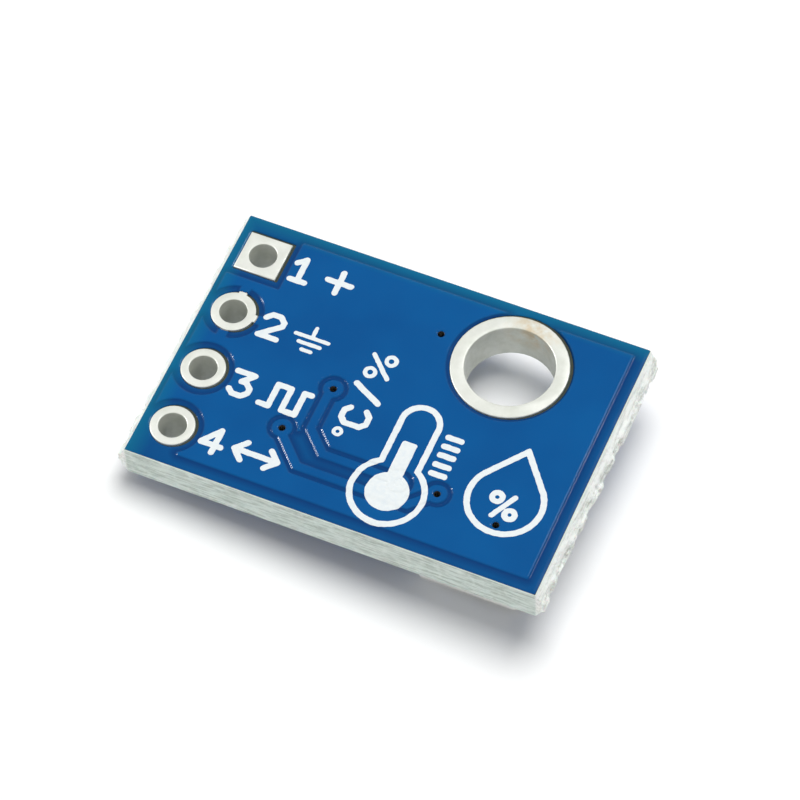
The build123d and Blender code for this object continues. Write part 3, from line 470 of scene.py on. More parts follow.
holes = [hole for name in ("pin_barrel_1", "pin_barrel_2", "pin_barrel_3", "pin_barrel_4",
                           "screw_barrel", "via_barrels") for hole in barrels_of(name)]
print(len(holes), "holes, radii", sorted({round(h[2], 2) for h in holes}))
rim = [Vector(rows[0][:2]) for rows in columns]
outlines, points2d = [list(range(len(rim)))], list(rim)
for x, y, radius in holes:
    count = 64 if radius > 1 else 32 if radius > 0.3 else 14
    start = len(points2d)
    drilled = radius + INTO_PLATING
    points2d += [Vector((x + drilled * math.cos(math.tau * k / count),
                         y + drilled * math.sin(math.tau * k / count))) for k in range(count)]
    outlines.append(list(range(start, start + count))[::-1])
flat, _, flat_faces, _, _, _ = delaunay_2d_cdt(points2d, [], outlines, 1, 1e-6)
assert len(flat) == len(points2d)


def inside_hole(face):
    middle = sum((flat[i] for i in face), Vector((0, 0))) / len(face)
    return any((middle - Vector((x, y))).length < r + INTO_PLATING - 0.001 for x, y, r in holes)


flat_faces = [face for face in flat_faces if not inside_hole(face)]
print(len(flat_faces), "faces fill the top")

# %% Laminate mesh
vertices, faces = [], []
row_count = len(columns[0])
for rows in columns:
    vertices += rows
for c in range(len(columns)):
    for r in range(row_count - 1):
        a, b = c * row_count + r, (c + 1) % len(columns) * row_count + r
        faces.append((a, a + 1, b + 1, b))
hole_start = len(vertices)
for point in flat[len(rim):]:
    vertices += [(point.x, point.y, GLASS_TOP), (point.x, point.y, GLASS_BOTTOM)]


def corner(i, bottom):
    """Index of a flat point's vertex on the top or the bottom face."""
    if i < len(rim):
        return i * row_count + (row_count - 1 if bottom else 0)
    return hole_start + 2 * (i - len(rim)) + (1 if bottom else 0)


for face in flat_faces:
    faces.append(tuple(corner(i, False) for i in face))
    faces.append(tuple(corner(i, True) for i in reversed(face)))
for outline in outlines[1:]:
    for a, b in zip(outline, outline[1:] + outline[:1]):
        faces.append((corner(a, False), corner(b, False), corner(b, True), corner(a, True)))


def piece_from(name, vertices, faces, finish, smooth=False):
    """A mesh object from points in millimetres, with its faces turned outwards."""
    mesh = bpy.data.meshes.new(name)
    mesh.from_pydata([[c * MM for c in v] for v in vertices], [], faces)
    work = bmesh.new()
    work.from_mesh(mesh)
    bmesh.ops.recalc_face_normals(work, faces=work.faces)
    open_edges = sum(len(edge.link_faces) != 2 for edge in work.edges)
    work.to_mesh(mesh)
    work.free()
    mesh.polygons.foreach_set("use_smooth", [smooth] * len(mesh.polygons))
    mesh.materials.append(finish.material)
    made = placed(name, mesh)
    print(name, len(mesh.polygons), "faces,", open_edges, "open edges")
    return made


# %% [markdown]
# The finish of the laminate: streaks along the length where fibre bundles lie in the sawn
# side, noise stretched along X; short upright streaks where they were torn at the ends; a thin
# painted highlight along the top edge of the sawn side, right under the lacquer; and a whiter,
# drier look where it was torn, because broken resin is full of tiny cracks. Its flat face only
# shows in the hairline between a pad and the lacquer round it, and is painted near black there
# as shade.

# %% Glass fibre finish
glass = Finish("glass_fibre", roughness=0.6, specular=0.25)
streaks = glass.noise(1.0, 6.0, glass.stretched(1.2, 3.0, 9.0), 0.68)
mottle = glass.noise(0.28, 5.0)
body = glass.mix(glass.ramp(streaks, 0.38, 0.58), (0.41, 0.48, 0.43), (0.68, 0.76, 0.71))
body = glass.mix(glass.ramp(mottle, 0.50, 0.72, 0.0, 0.5), body, (0.84, 0.90, 0.86))
strands = glass.noise(1.0, 5.0, glass.stretched(8.0, 1.1, 7.0), 0.7)
torn = glass.mix(glass.ramp(strands, 0.34, 0.52), (0.62, 0.65, 0.61), (0.90, 0.93, 0.90))
out = glass.math("ABSOLUTE", glass.axis("X"))
body = glass.mix(glass.ramp(out, END_RIGHT - 0.02, END_RIGHT + 0.06), body, torn)
# Painted highlight: a thin pale band along the top edge of the sawn side, just under the lacquer.
top_edge_highlight = glass.ramp(glass.axis("Z"), GLASS_TOP - 0.10, GLASS_TOP - 0.04)
body = glass.mix(top_edge_highlight, body, (0.80, 0.88, 0.82))
# Painted shade: the flat top face, seen only in the gaps round the pads, is made near black.
painted_face_shade = glass.ramp(glass.axis("Z"), GLASS_TOP - 0.012, GLASS_TOP - 0.004)
glass.colour(glass.mix(painted_face_shade, body, (0.045, 0.055, 0.040)))
glass.rough(glass.ramp(mottle, 0.3, 0.7, 0.5, 0.8))
glass.bump(glass.math("ADD", streaks, mottle), 0.03, 0.55)
glass.shader.inputs["Subsurface Weight"].default_value = 0.12
glass.shader.inputs["Subsurface Scale"].default_value = 0.0004
laminate = piece_from("torn_laminate", vertices, faces, glass)
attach(laminate, "root")
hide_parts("laminate")

# %% [markdown]
# Two pieces of this module are thin sheets with involved outlines: the lacquer film, with its
# openings, and the printed ink. Both are made the same way. A distance field says how far each
# point of a fine grid is from the edge, below zero inside, and the zero line is turned into a
# mesh: every grid square is two triangles, and one that the line crosses is cut exactly where
# the field is zero. Corners and cut points are shared, so the sheet comes out in one skin.

# %% Sheets from distance fields
def sheet_inside(field, xs, ys, height):
    """Points and faces of the flat sheet at a height, where the field is below zero."""
    points, faces, shared = [], [], {}

    def corner_point(i, j):
        if (i, j) not in shared:
            shared[(i, j)] = len(points)
            points.append((xs[i], ys[j], height))
        return shared[(i, j)]

    def cut_point(a, b):
        low, high = min(a, b), max(a, b)
        if (low, high) not in shared:
            share = min(0.97, max(0.03, field[low] / (field[low] - field[high])))
            shared[(low, high)] = len(points)
            points.append((xs[low[0]] + share * (xs[high[0]] - xs[low[0]]),
                           ys[low[1]] + share * (ys[high[1]] - ys[low[1]]), height))
        return shared[(low, high)]

    inside = field < 0
    near = inside[:-1, :-1] | inside[1:, :-1] | inside[:-1, 1:] | inside[1:, 1:]
    for i, j in zip(*(found.tolist() for found in np.nonzero(near))):
        square = ((i, j), (i + 1, j), (i + 1, j + 1), (i, j + 1))
        for triangle in ((square[0], square[1], square[2]), (square[0], square[2], square[3])):
            face = []
            for a, b in zip(triangle, triangle[1:] + triangle[:1]):
                if inside[a]:
                    face.append(corner_point(*a))
                if inside[a] != inside[b]:
                    face.append(cut_point(a, b))
            if len(face) > 2:
                faces.append(face)
    return points, faces


def distance_to(segments, px, py):
    """Distance from every point to the nearest of some segments (ax, ay, bx, by)."""
    nearest = np.full(px.shape, 9.0)
    for ax, ay, bx, by in segments:
        dx, dy = bx - ax, by - ay
        share = np.clip(((px - ax) * dx + (py - ay) * dy) / (dx * dx + dy * dy), 0, 1)
        np.minimum(nearest, np.hypot(px - ax - share * dx, py - ay - share * dy), out=nearest)
    return nearest


# %% [markdown]
# The solid film steps down square where the copper below it ends. Liquid lacquer can't do
# that: it slopes off, and those slopes are the thin light lines along the tracks and moats that
# the photograph shows. So the film is made anew from the solid one. Its edges are sorted into
# steps, with film on both sides, and rims, with film on one side only; the distance to a step
# gives the slope, the distance to a rim the openings and the rounded rim itself.

# %% Steps and rims of the lacquer film
from mathutils.bvhtree import BVHTree

solid_film = bmesh.new()
solid_film.from_mesh(nodes["solder_mask_top"].data)
bmesh.ops.remove_doubles(solid_film, verts=solid_film.verts, dist=WELD)
solid_film.normal_update()
film_tree = BVHTree.FromBMesh(solid_film)


def film_height(x, y):
    """Height of the solid film at a place, in millimetres, or nothing in an opening."""
    hit = film_tree.ray_cast(Vector((x, y, FILM_TOP + 1)) * MM, Vector((0, 0, -1)), 1.5 * MM)[0]
    return None if hit is None or hit.z / MM < GLASS_TOP + 0.02 else hit.z / MM


steps, rims, seen_edges = [], [], set()
for edge in solid_film.edges:
    upward = [face for face in edge.link_faces if face.normal.z > 0.9]
    if len(upward) != 1:
        continue
    (ax, ay, _), (bx, by, _) = (v.co / MM for v in edge.verts)
    length = math.hypot(bx - ax, by - ay)
    key = tuple(sorted(((round(ax, 4), round(ay, 4)), (round(bx, 4), round(by, 4)))))
    if length < 1e-5 or key in seen_edges:
        continue
    seen_edges.add(key)
    side_x, side_y = -(by - ay) / length * 0.008, (bx - ax) / length * 0.008
    middle_x, middle_y = (ax + bx) / 2, (ay + by) / 2
    both = (film_height(middle_x + side_x, middle_y + side_y),
            film_height(middle_x - side_x, middle_y - side_y))
    (rims if None in both else steps).append((ax, ay, bx, by))
print(len(steps), "step edges and", len(rims), "rim edges in the film")

# %% Sheet of the lacquer film
FILM_PITCH, SLOPE_WIDTH, RIM_ROUND = 0.066, 0.085, 0.03
COPPER, COPPER_INSET = 0.05, 0.04
film_x = np.arange(LEFT - 0.5 * FILM_PITCH, RIGHT + FILM_PITCH, FILM_PITCH)
film_y = np.arange(FRONT - 0.5 * FILM_PITCH, BACK + FILM_PITCH, FILM_PITCH)
plan_x, plan_y = np.meshgrid(film_x, film_y, indexing="ij")
covered = np.array([[film_height(x, y) is not None for y in film_y] for x in film_x])
film_field = distance_to(rims, plan_x, plan_y) * np.where(covered, -1, 1)
film_points, film_faces = sheet_inside(film_field, film_x, film_y, FILM_TOP)
film_points = np.array(film_points)
px, py = film_points[:, 0], film_points[:, 1]
from_step, from_rim = distance_to(steps, px, py), distance_to(rims, px, py)
print("film sheet", len(film_points), "points", len(film_faces), "faces")


# %% Lacquer film with sloping steps
def raised_at(x, y):
    """Whether the copper lies under the film here, looking a little inwards at a rim."""
    for dx, dy in ((0, 0), (0.01, 0), (-0.01, 0), (0, 0.01), (0, -0.01)):
        height = film_height(x + dx, y + dy)
        if height is not None:
            return height > FILM_TOP - FILM_STEP / 2
    return False


def eased(value):
    value = np.clip(value, 0, 1)
    return value * value * (3 - 2 * value)


side_of_step = np.where([raised_at(x, y) for x, y in zip(px, py)], 1, -1) * from_step
rise = eased(side_of_step / SLOPE_WIDTH + 0.5)
rim_fall = RIM_ROUND * np.clip(1 - from_rim / 0.07, 0, 1) ** 2
film_upper = FILM_TOP - FILM_STEP * (1 - rise) - rim_fall
film_lower = GLASS_TOP + COPPER * eased((side_of_step - COPPER_INSET) / 0.02)
film_lower = np.minimum(film_lower, film_upper - 0.008)
count = len(film_points)
film_vertices = [(x, y, z) for x, y, z in zip(px, py, film_upper)]
film_vertices += [(x, y, z) for x, y, z in zip(px, py, film_lower)]
walked = {(a, b) for face in film_faces for a, b in zip(face, face[1:] + face[:1])}
film_sides = [(a, a + count, b + count, b) for a, b in walked if (b, a) not in walked]
film_underside = [[i + count for i in reversed(face)] for face in film_faces]
film = piece_from("sloped_lacquer", film_vertices, film_faces + film_underside + film_sides,
                  lacquer, smooth=True)
film.data.set_sharp_from_angle(angle=math.radians(55))
distances = film.data.attributes.new("from_step", "FLOAT", "POINT")
distances.data.foreach_set("value", np.concatenate((side_of_step, side_of_step)))
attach(film, "root")
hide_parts("solder_mask_top")
solid_film.free()

# %% [markdown]
# The white print is a screen-printed ink about a hundredth of a millimetre thick. It could be
# a texture, but real ink has an edge, and it climbs over the tracks below it. So the signs are
# first described as a distance field: every stroke, ring and bar says how far a point is from
# its edge, and their minimum is the whole print. Each row of holes gets its number and a plain
# sign: plus, earth, clock and two-way data.

# %% Strokes of the print
INK, THIN, INK_PITCH = 0.22, 0.15, 0.03
x_grid = np.arange(LEFT + 1.5, RIGHT - 0.6, INK_PITCH)
y_grid = np.arange(FRONT + 0.2, BACK - 0.3, INK_PITCH)
grid_x, grid_y = np.meshgrid(x_grid, y_grid, indexing="ij")
field = np.full(grid_x.shape, 9.0)
print("print grid", *field.shape, "points")


def add(shape):
    np.minimum(field, shape, out=field)


def stroke(points, width=INK):
    """Adds a stroke through points given from the board's front left corner."""
    points = [(x + LEFT, y + FRONT) for x, y in points]
    segments = [(*a, *b) for a, b in zip(points, points[1:])]
    add(distance_to(segments, grid_x, grid_y) - width / 2)


def disc(x, y, radius):
    return np.hypot(grid_x - x - LEFT, grid_y - y - FRONT) - radius


def bar(x0, y0, x1, y1, corner):
    """A bar with rounded corners."""
    away_x = np.abs(grid_x - LEFT - (x0 + x1) / 2) - (x1 - x0) / 2 + corner
    away_y = np.abs(grid_y - FRONT - (y0 + y1) / 2) - (y1 - y0) / 2 + corner
    outside = np.hypot(np.maximum(away_x, 0), np.maximum(away_y, 0))
    return outside + np.minimum(np.maximum(away_x, away_y), 0) - corner


def outline_of(shape, width=INK):
    return np.maximum(shape, -shape - width)


# %% Numbers and signs beside the holes
SIGNS = {
    "one": [[(0.08, 0.70), (0.36, 0.93), (0.36, 0)], [(0.08, 0), (0.64, 0)]],
    "two": [[(0, 0.74), (0.19, 0.93), (0.5, 0.93), (0.69, 0.74), (0.69, 0.58), (0, 0), (0.69, 0)]],
    "three": [[(0, 0.93), (0.66, 0.93), (0.30, 0.56), (0.48, 0.56), (0.69, 0.37), (0.69, 0.19),
               (0.5, 0), (0.16, 0), (0, 0.15)]],
    "four": [[(0.52, 0), (0.52, 0.93), (0, 0.29), (0.74, 0.29)]],
    "plus": [[(0.16, 0.465), (1.06, 0.465)], [(0.61, 0.02), (0.61, 0.91)]],
    "clock": [[(0, 0), (0.36, 0), (0.36, 0.93), (0.86, 0.93), (0.86, 0), (1.36, 0), (1.36, 0.93),
               (1.62, 0.93)]],
    "both_ways": [[(0, 0.465), (1.62, 0.465)], [(0.36, 0.83), (0, 0.465), (0.36, 0.10)],
                  [(1.26, 0.83), (1.62, 0.465), (1.26, 0.10)]],
}
NUMBER_X, SIGN_X, EARTH_X = 2.33, 3.52, 4.18
ROWS = [("one", 8.56), ("two", 6.01), ("three", 3.43), ("four", 0.96)]
for number, y in ROWS:
    for points in SIGNS[number]:
        stroke([(NUMBER_X + px, y + py) for px, py in points])
for sign, (number, y) in zip(("plus", None, "clock", "both_ways"), ROWS):
    for points in SIGNS.get(sign, []):
        stroke([(SIGN_X + px, y + py) for px, py in points])
earth_y = ROWS[1][1]
stroke([(EARTH_X, earth_y + 0.97), (EARTH_X, earth_y + 0.54)], THIN)
for half, below in ((0.62, 0.54), (0.40, 0.26), (0.17, -0.02)):
    stroke([(EARTH_X - half, earth_y + below), (EARTH_X + half, earth_y + below)], THIN)
print("rows done,", int((field < 0).sum()), "grid points inked")

# %% [markdown]
# In the middle a plain unit sign stands upright. On the right are the two pictograms that say
# what the module measures: a thermometer with its scale, and a drop with a percent sign. Both
# outlines come from one trick: the outer shape's distance, folded at the stroke's width.

# %% Unit sign
UNIT_LINE, UNIT_START = 7.34, 3.30


def upright(points, width=INK):
    """A stroke that reads upwards, in the middle of the board."""
    stroke([(UNIT_LINE - py, UNIT_START + px) for px, py in points], width)


C_SHAPE = [(1.16, 0.76), (0.99, 0.93), (0.68, 0.93), (0.50, 0.74), (0.50, 0.19), (0.68, 0),
           (0.99, 0), (1.16, 0.17)]
upright(C_SHAPE)
add(outline_of(disc(UNIT_LINE - 0.80, UNIT_START + 0.08, 0.20), 0.13))
upright([(1.62, -0.04), (2.14, 0.97)])
upright([(2.66, 0.06), (3.46, 0.87)], 0.17)
add(outline_of(disc(UNIT_LINE - 0.72, UNIT_START + 2.72, 0.25), 0.15))
add(outline_of(disc(UNIT_LINE - 0.20, UNIT_START + 3.40, 0.25), 0.15))
print("with the unit sign,", int((field < 0).sum()), "grid points inked")

# %% Thermometer and drop
BULB = (9.08, 1.80)
stem = np.minimum(bar(8.295, 1.80, 9.865, 5.50, 0.78), disc(*BULB, 1.40))
add(outline_of(stem))
add(disc(*BULB, 0.77))
add(bar(8.79, 1.80, 9.34, 3.91, 0.10))
for y in (4.59, 4.21, 3.84, 3.44, 3.06):
    add(bar(10.08, y - 0.11, 10.78, y + 0.11, 0.10))


def drop(x, y, radius, tip, tip_radius):
    """A round drop that narrows to its tip, as the distance to a tapered capsule."""
    across = np.abs(grid_x - x - LEFT)
    up = grid_y - y - FRONT
    tall = tip - tip_radius - y
    b = (radius - tip_radius) / tall
    a = math.sqrt(1 - b * b)
    k = across * -b + up * a
    round_part = np.hypot(across, up) - radius
    tip_part = np.hypot(across, up - tall) - tip_radius
    side_part = across * a + up * b - radius
    return np.where(k < 0, round_part, np.where(k > a * tall, tip_part, side_part))


add(outline_of(drop(12.97, 2.98, 1.43, 5.23, 0.06)))
add(np.maximum(disc(12.66, 3.02, 0.28), -disc(12.66, 3.02, 0.075)))
add(np.maximum(disc(13.32, 2.51, 0.28), -disc(13.32, 2.51, 0.075)))
stroke([(13.25, 3.22), (12.74, 2.28)], 0.19)
print("print covers", round(float((field < 0).sum()) * INK_PITCH ** 2, 1), "square mm")

# %% [markdown]
# A squeegee never prints a perfect edge, so the field gets a little noise. At a via's mouth the
# ink either breaks off, where only a stroke's edge falls on it, or closes it like a skin, where
# the via lies well inside a filled shape, as under the thermometer's bulb.

# %% Sheet of ink
INK_THICKNESS, INK_SINK, SAG, MOUTH, WELL_INSIDE = 0.009, 0.003, 0.02, 0.05, 0.05
rough_edge = np.array([[noise.noise(Vector((x * 7, y * 7, 0.3))) for y in y_grid]
                       for x in x_grid])
field += 0.014 * rough_edge
for x, y, radius in barrels_of("via_barrels"):
    away = np.hypot(grid_x - x, grid_y - y)
    if field[away < INK_PITCH].min() > -WELL_INSIDE:
        np.maximum(field, radius + MOUTH - away, out=field)
ink_points, ink_faces = sheet_inside(field, x_grid, y_grid, FILM_TOP - SAG)
sheet_mesh = bpy.data.meshes.new("ink_sheet")
sheet_mesh.from_pydata([[c * MM for c in p] for p in ink_points], [], ink_faces)
sheet = placed("ink_sheet", sheet_mesh)
print("ink sheet", len(ink_points), "points", len(ink_faces), "faces")

# %% [markdown]
# Laying the sheet on the board is a job that follows a surface, so Geometry Nodes do it: every
# point drops straight down on to the lacquer, or stays where it is over a closed via, sinks a
# little, and the sheet is then extruded to the ink's thickness and closed underneath. The
# tree's inputs name its sizes.

# %% Geometry Nodes helpers
def new_tree(name, inputs):
    """An empty tree with named inputs after its geometry."""
    tree = bpy.data.node_groups.new(name, "GeometryNodeTree")
    tree.interface.new_socket("Geometry", in_out="INPUT", socket_type="NodeSocketGeometry")
    for label, kind in inputs:
        tree.interface.new_socket(label, in_out="INPUT", socket_type=kind)
    tree.interface.new_socket("Geometry", in_out="OUTPUT", socket_type="NodeSocketGeometry")
    tree.nodes.new("NodeGroupInput")
    tree.nodes.new("NodeGroupOutput")
    return tree


def grown(name, carrier, tree, values):
    """Runs a tree on a carrier and keeps the result as a plain mesh piece."""
    modifier = carrier.modifiers.new(tree.name, "NODES")
    modifier.node_group = tree
    for item in tree.interface.items_tree:
        if item.in_out == "INPUT" and item.name in values:
            modifier[item.identifier] = values[item.name]
    evaluated = carrier.evaluated_get(bpy.context.evaluated_depsgraph_get())
    mesh = bpy.data.meshes.new_from_object(evaluated)
    mesh.name = name
    carrier.modifiers.remove(modifier)
    made = placed(name, mesh)
    bpy.data.objects.remove(carrier)
    print(name, len(mesh.polygons), "faces")
    return made


# %% White ink
ink = Finish("white_ink", roughness=0.55, specular=0.3)
thin_spots = ink.ramp(ink.noise(0.16, 4.0), 0.30, 0.62)
ink.colour(ink.mix(thin_spots, (0.72, 0.78, 0.81), (0.79, 0.83, 0.83)))
ink.bump(ink.noise(0.06, 3.0), 0.004, 0.5)
print("white ink has", len(ink.tree.nodes), "nodes")

# %% Tree that drapes the sheet
drape = new_tree("drape_on_surface", [("Surface", "NodeSocketObject"),
                                      ("Thickness", "NodeSocketFloat"),
                                      ("Sink", "NodeSocketFloat"),
                                      ("Finish", "NodeSocketMaterial")])
given = drape.nodes["Group Input"].outputs
place = knot(drape, "GeometryNodeInputPosition").outputs[0]
above = knot(drape, "ShaderNodeVectorMath", {"operation": "ADD"}, i0=place,
             i1=(0, 0, 0.01)).outputs[0]
surface = knot(drape, "GeometryNodeObjectInfo", Object=given["Surface"]).outputs["Geometry"]
ray = knot(drape, "GeometryNodeRaycast")
drape.links.new(surface, ray.inputs["Target Geometry"])
drape.links.new(above, ray.inputs["Source Position"])
ray.inputs["Ray Direction"].default_value = (0, 0, -1)
ray.inputs["Ray Length"].default_value = 0.02
down = knot(drape, "ShaderNodeCombineXYZ",
            Z=knot(drape, "ShaderNodeMath", {"operation": "MULTIPLY"}, i0=given["Sink"],
                   i1=-1.0).outputs[0]).outputs[0]
laid = knot(drape, "GeometryNodeSetPosition", Geometry=given["Geometry"],
            Selection=ray.outputs["Is Hit"], Position=ray.outputs["Hit Position"],
            Offset=down).outputs[0]
whole = knot(drape, "ShaderNodeMath", {"operation": "ADD"}, i0=given["Thickness"],
             i1=given["Sink"]).outputs[0]
raised = knot(drape, "GeometryNodeExtrudeMesh", Mesh=laid, Offset=(0, 0, 1))
drape.links.new(whole, raised.inputs["Offset Scale"])
raised.inputs["Individual"].default_value = False
under = knot(drape, "GeometryNodeFlipFaces", Mesh=laid).outputs[0]
joined = knot(drape, "GeometryNodeJoinGeometry")
drape.links.new(raised.outputs["Mesh"], joined.inputs[0])
drape.links.new(under, joined.inputs[0])
closed = knot(drape, "GeometryNodeMergeByDistance", Geometry=joined.outputs[0],
              Distance=WELD).outputs[0]
real = knot(drape, "GeometryNodeRealizeInstances", Geometry=closed).outputs[0]
coated = knot(drape, "GeometryNodeSetMaterial", Geometry=real, Material=given["Finish"])
drape.links.new(coated.outputs[0], drape.nodes["Group Output"].inputs[0])
print("the draping tree has", len(drape.nodes), "nodes")

# %% Ink on the board
screen_print = grown("screen_print", sheet, drape,
                     {"Surface": film, "Thickness": INK_THICKNESS * MM,
                      "Sink": INK_SINK * MM, "Finish": ink.material})
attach(screen_print, "root")

# %% [markdown]
# Torn glass leaves hairs. They repeat, so one tree scatters them: points are spread over the
# ridge of a torn end, each gets a thin tapered hair, turned mostly outwards and scaled at
# random with a fixed seed.

# %% Ridge strips that carry the fibres
def ridge_strip(side):
    """The torn ridge of one end as a strip of its own, for fibres to stand on."""
    x_at = right_x if side > 0 else left_x
    ys = np.linspace(FRONT + 0.05, BACK - 0.05, 120)
    zs = np.linspace(GLASS_BOTTOM + 0.42, GLASS_TOP - 0.42, 9)
    strip_points = [(x_at(y)(z) - side * 0.01, y, z) for y in ys for z in zs]
    strip_faces = []
    for i in range(len(ys) - 1):
        for j in range(len(zs) - 1):
            a = i * len(zs) + j
            face = (a, a + len(zs), a + len(zs) + 1, a + 1)
            strip_faces.append(face if side > 0 else face[::-1])
    mesh = bpy.data.meshes.new("ridge_strip")
    mesh.from_pydata([[c * MM for c in p] for p in strip_points], [], strip_faces)
    return placed("ridge_strip", mesh)


# %% Glass hair and the tree that scatters it
hair = Finish("torn_glass_hair", roughness=0.45, specular=0.4)
hair.colour(hair.mix(hair.noise(0.2), (0.66, 0.70, 0.66), (0.86, 0.88, 0.86)))
hair.bump(hair.noise(0.03), 0.002, 0.3)

fibres = new_tree("torn_fibres", [("Per square metre", "NodeSocketFloat"),
                                  ("Length", "NodeSocketFloat"),
                                  ("Radius", "NodeSocketFloat"),
                                  ("Lean", "NodeSocketFloat"),
                                  ("Seed", "NodeSocketInt"),
                                  ("Finish", "NodeSocketMaterial")])
given = fibres.nodes["Group Input"].outputs
spread = knot(fibres, "GeometryNodeDistributePointsOnFaces", Mesh=given["Geometry"],
              Seed=given["Seed"])
fibres.links.new(given["Per square metre"], spread.inputs["Density"])
cone = knot(fibres, "GeometryNodeMeshCone", Vertices=5)
fibres.links.new(given["Length"], cone.inputs["Depth"])
fibres.links.new(given["Radius"], cone.inputs["Radius Bottom"])
fibres.links.new(knot(fibres, "ShaderNodeMath", {"operation": "MULTIPLY"}, i0=given["Radius"],
                      i1=0.5).outputs[0], cone.inputs["Radius Top"])
lean = knot(fibres, "FunctionNodeRandomValue", {"data_type": "FLOAT_VECTOR"},
            Seed=given["Seed"])
fibres.links.new(knot(fibres, "ShaderNodeVectorMath", {"operation": "SCALE"}, i0=(-1, -1, -1),
                      Scale=given["Lean"]).outputs[0], lean.inputs[0])
fibres.links.new(knot(fibres, "ShaderNodeVectorMath", {"operation": "SCALE"}, i0=(1, 1, 1),
                      Scale=given["Lean"]).outputs[0], lean.inputs[1])
turned = knot(fibres, "FunctionNodeRotateRotation", {"rotation_space": "LOCAL"})
fibres.links.new(spread.outputs["Rotation"], turned.inputs[0])
fibres.links.new(lean.outputs[0], turned.inputs[1])
scale = knot(fibres, "FunctionNodeRandomValue", {"data_type": "FLOAT"}, Seed=given["Seed"])
scale.inputs[2].default_value, scale.inputs[3].default_value = 0.35, 1.0
standing = knot(fibres, "GeometryNodeInstanceOnPoints", Points=spread.outputs["Points"],
                Instance=cone.outputs["Mesh"])
fibres.links.new(turned.outputs[0], standing.inputs["Rotation"])
fibres.links.new(scale.outputs[1], standing.inputs["Scale"])
real = knot(fibres, "GeometryNodeRealizeInstances", Geometry=standing.outputs[0]).outputs[0]
coated = knot(fibres, "GeometryNodeSetMaterial", Geometry=real, Material=given["Finish"])
fibres.links.new(coated.outputs[0], fibres.nodes["Group Output"].inputs[0])
print("the scattering tree has", len(fibres.nodes), "nodes")


# %% Fibres on both torn ends
def keep_inside(piece):
    """Presses what leans past the snapped end back on to the board's outer plane."""
    for v in piece.data.vertices:
        v.co.x = max(GLASS_LEFT * MM, min(GLASS_RIGHT * MM, v.co.x))
        v.co.y = max(FRONT * MM, min(BACK * MM, v.co.y))


for side, name in ((-1, "torn_fibres_left"), (1, "torn_fibres_right")):
    tuft = grown(name, ridge_strip(side), fibres,
                 {"Per square metre": 60 / MM ** 2, "Length": 0.16 * MM, "Radius": 0.012 * MM,
                  "Lean": 1.2, "Seed": 7 + side, "Finish": hair.material})
    keep_inside(tuft)
    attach(tuft, "root")

# %% [markdown]
# On a table the module can't lie flat: it rests on the edge of the sensor's cap and on the
# level shifter beside the pins, nose down by about five degrees. The floor is tilted by that much
# instead of the board, and touches it in the same places, so the shadow is narrow at the pins
# and widens towards the screw hole as in the photograph.

# %% Floor
FLOOR_REACH = 0.6  # metres
cap_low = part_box("sensor_cap")[0]
package_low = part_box("shifter_body")[0]
floor_slope = (package_low.z - cap_low.z) / (cap_low.x - package_low.x)
floor_mesh = bpy.data.meshes.new("floor")
floor_corners = [(FLOOR_REACH * x, FLOOR_REACH * y)
                 for x, y in ((-1, -1), (1, -1), (1, 1), (-1, 1))]
floor_mesh.from_pydata([(x, y, (cap_low.x - x) * floor_slope) for x, y in floor_corners],
                       [], [(0, 1, 2, 3)])
floor = placed("floor", floor_mesh)
paper = bpy.data.materials.new("pale_paper")
paper.use_nodes = True
paper_shader = paper.node_tree.nodes["Principled BSDF"]
paper_shader.inputs["Base Color"].default_value = (0.985, 0.99, 0.99, 1)
paper_shader.inputs["Roughness"].default_value = 0.9
paper_shader.inputs["Specular IOR Level"].default_value = 0.0
floor_mesh.materials.append(paper)
floor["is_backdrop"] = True
print("floor leans", round(math.degrees(math.atan(floor_slope)), 2), "degrees")

# %% [markdown]
# The light is a white tent with four lamps. The tent is seen and mirrored as full white, and
# lights the board with about a third of that, so that the lamps can shape it. The key lamp is
# broad and stands high, a little to the back and right: it gives the short soft shadow under
# the front side. The front lamp stands low and fills the sawn side. Both are left out of
# reflections, so the flat lacquer stays deep. The other two are small and are only mirrored, so
# they cast no shadows: a slope of the lacquer lights up where its normal lies halfway between
# the camera and the lamp, so the edge lamp draws the slopes that face front left, and the rim
# lamp those that face right.

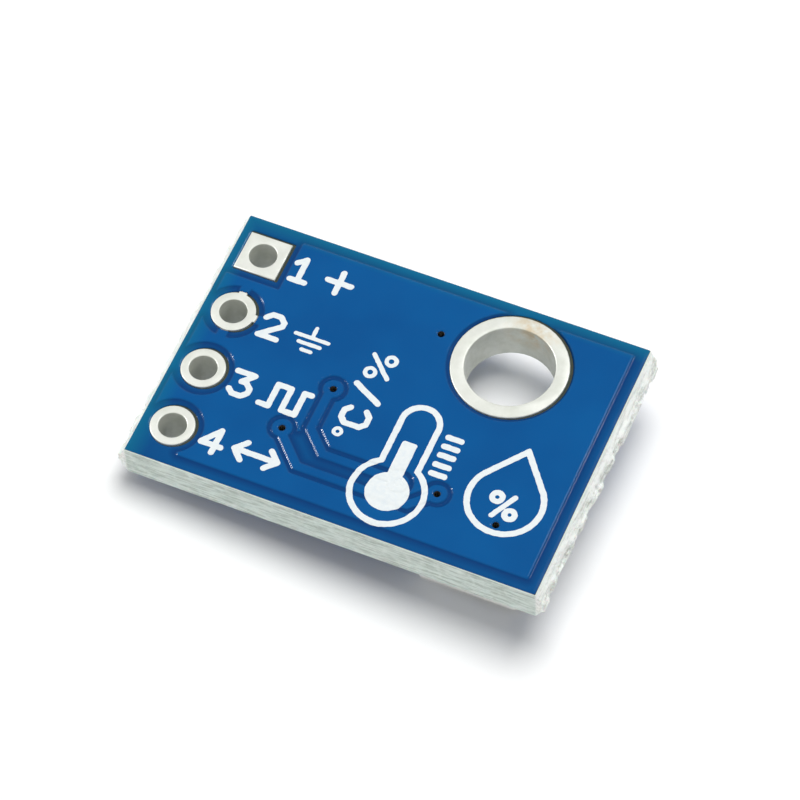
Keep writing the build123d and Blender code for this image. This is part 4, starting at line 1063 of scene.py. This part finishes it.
# %% White tent
world = bpy.data.worlds.new("white_tent")
bpy.context.scene.world = world
world.use_nodes = True
tent = world.node_tree
background = tent.nodes["Background"]
background.inputs["Color"].default_value = (1, 1, 1, 1)
path = knot(tent, "ShaderNodeLightPath").outputs
seen = knot(tent, "ShaderNodeMath", {"operation": "MAXIMUM"}, i0=path["Is Camera Ray"],
            i1=path["Is Transmission Ray"]).outputs[0]
seen_or_mirrored = knot(tent, "ShaderNodeMath", {"operation": "MAXIMUM"}, i0=seen,
                        i1=path["Is Glossy Ray"]).outputs[0]
TENT_LIGHT = 0.35
strength = knot(tent, "ShaderNodeMapRange", Value=seen_or_mirrored)
strength.inputs["To Min"].default_value = TENT_LIGHT
strength.inputs["To Max"].default_value = 1.0
tent.links.new(strength.outputs[0], background.inputs["Strength"])
print("the tent lights with", TENT_LIGHT, "of what it shows")


# %% Lamps
def lamp(name, towards, distance, size, energy, mirrored):
    """A round area lamp at the board, which is either only mirrored or only not mirrored."""
    data = bpy.data.lights.new(name, "AREA")
    data.shape = "DISK"
    data.size = size
    data.energy = energy
    towards = Vector(towards).normalized()
    made = placed(name, data)
    made.location = towards * distance
    made.rotation_mode = "QUATERNION"
    made.rotation_quaternion = towards.to_track_quat("Z", "Y")
    made.visible_glossy = mirrored
    made.visible_diffuse = not mirrored
    print(name, round(distance / MM), "mm away,", energy, "W")


lamp("key_lamp", (0.10, 0.23, 0.97), 0.30, 0.20, 0.74, mirrored=False)
lamp("front_lamp", (-0.60, -0.70, 0.20), 0.30, 0.06, 0.14, mirrored=False)
lamp("edge_lamp", (-0.80, -0.07, 0.60), 0.30, 0.024, 0.50, mirrored=True)
lamp("rim_lamp", (0.304, 0.479, 0.823), 0.30, 0.018, 0.22, mirrored=True)
bpy.context.scene.view_settings.view_transform = "Standard"

# %% [markdown]
# Dressing a part must not change its size. Both boxes are written out, so they can be compared.

# %% Sizes and finish
dressed_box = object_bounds()
for low, high in zip(solid_box[0], dressed_box[0]):
    print("low corner moved by", round((high - low) / MM, 4), "mm")
for low, high in zip(solid_box[1], dressed_box[1]):
    print("high corner moved by", round((high - low) / MM, 4), "mm")
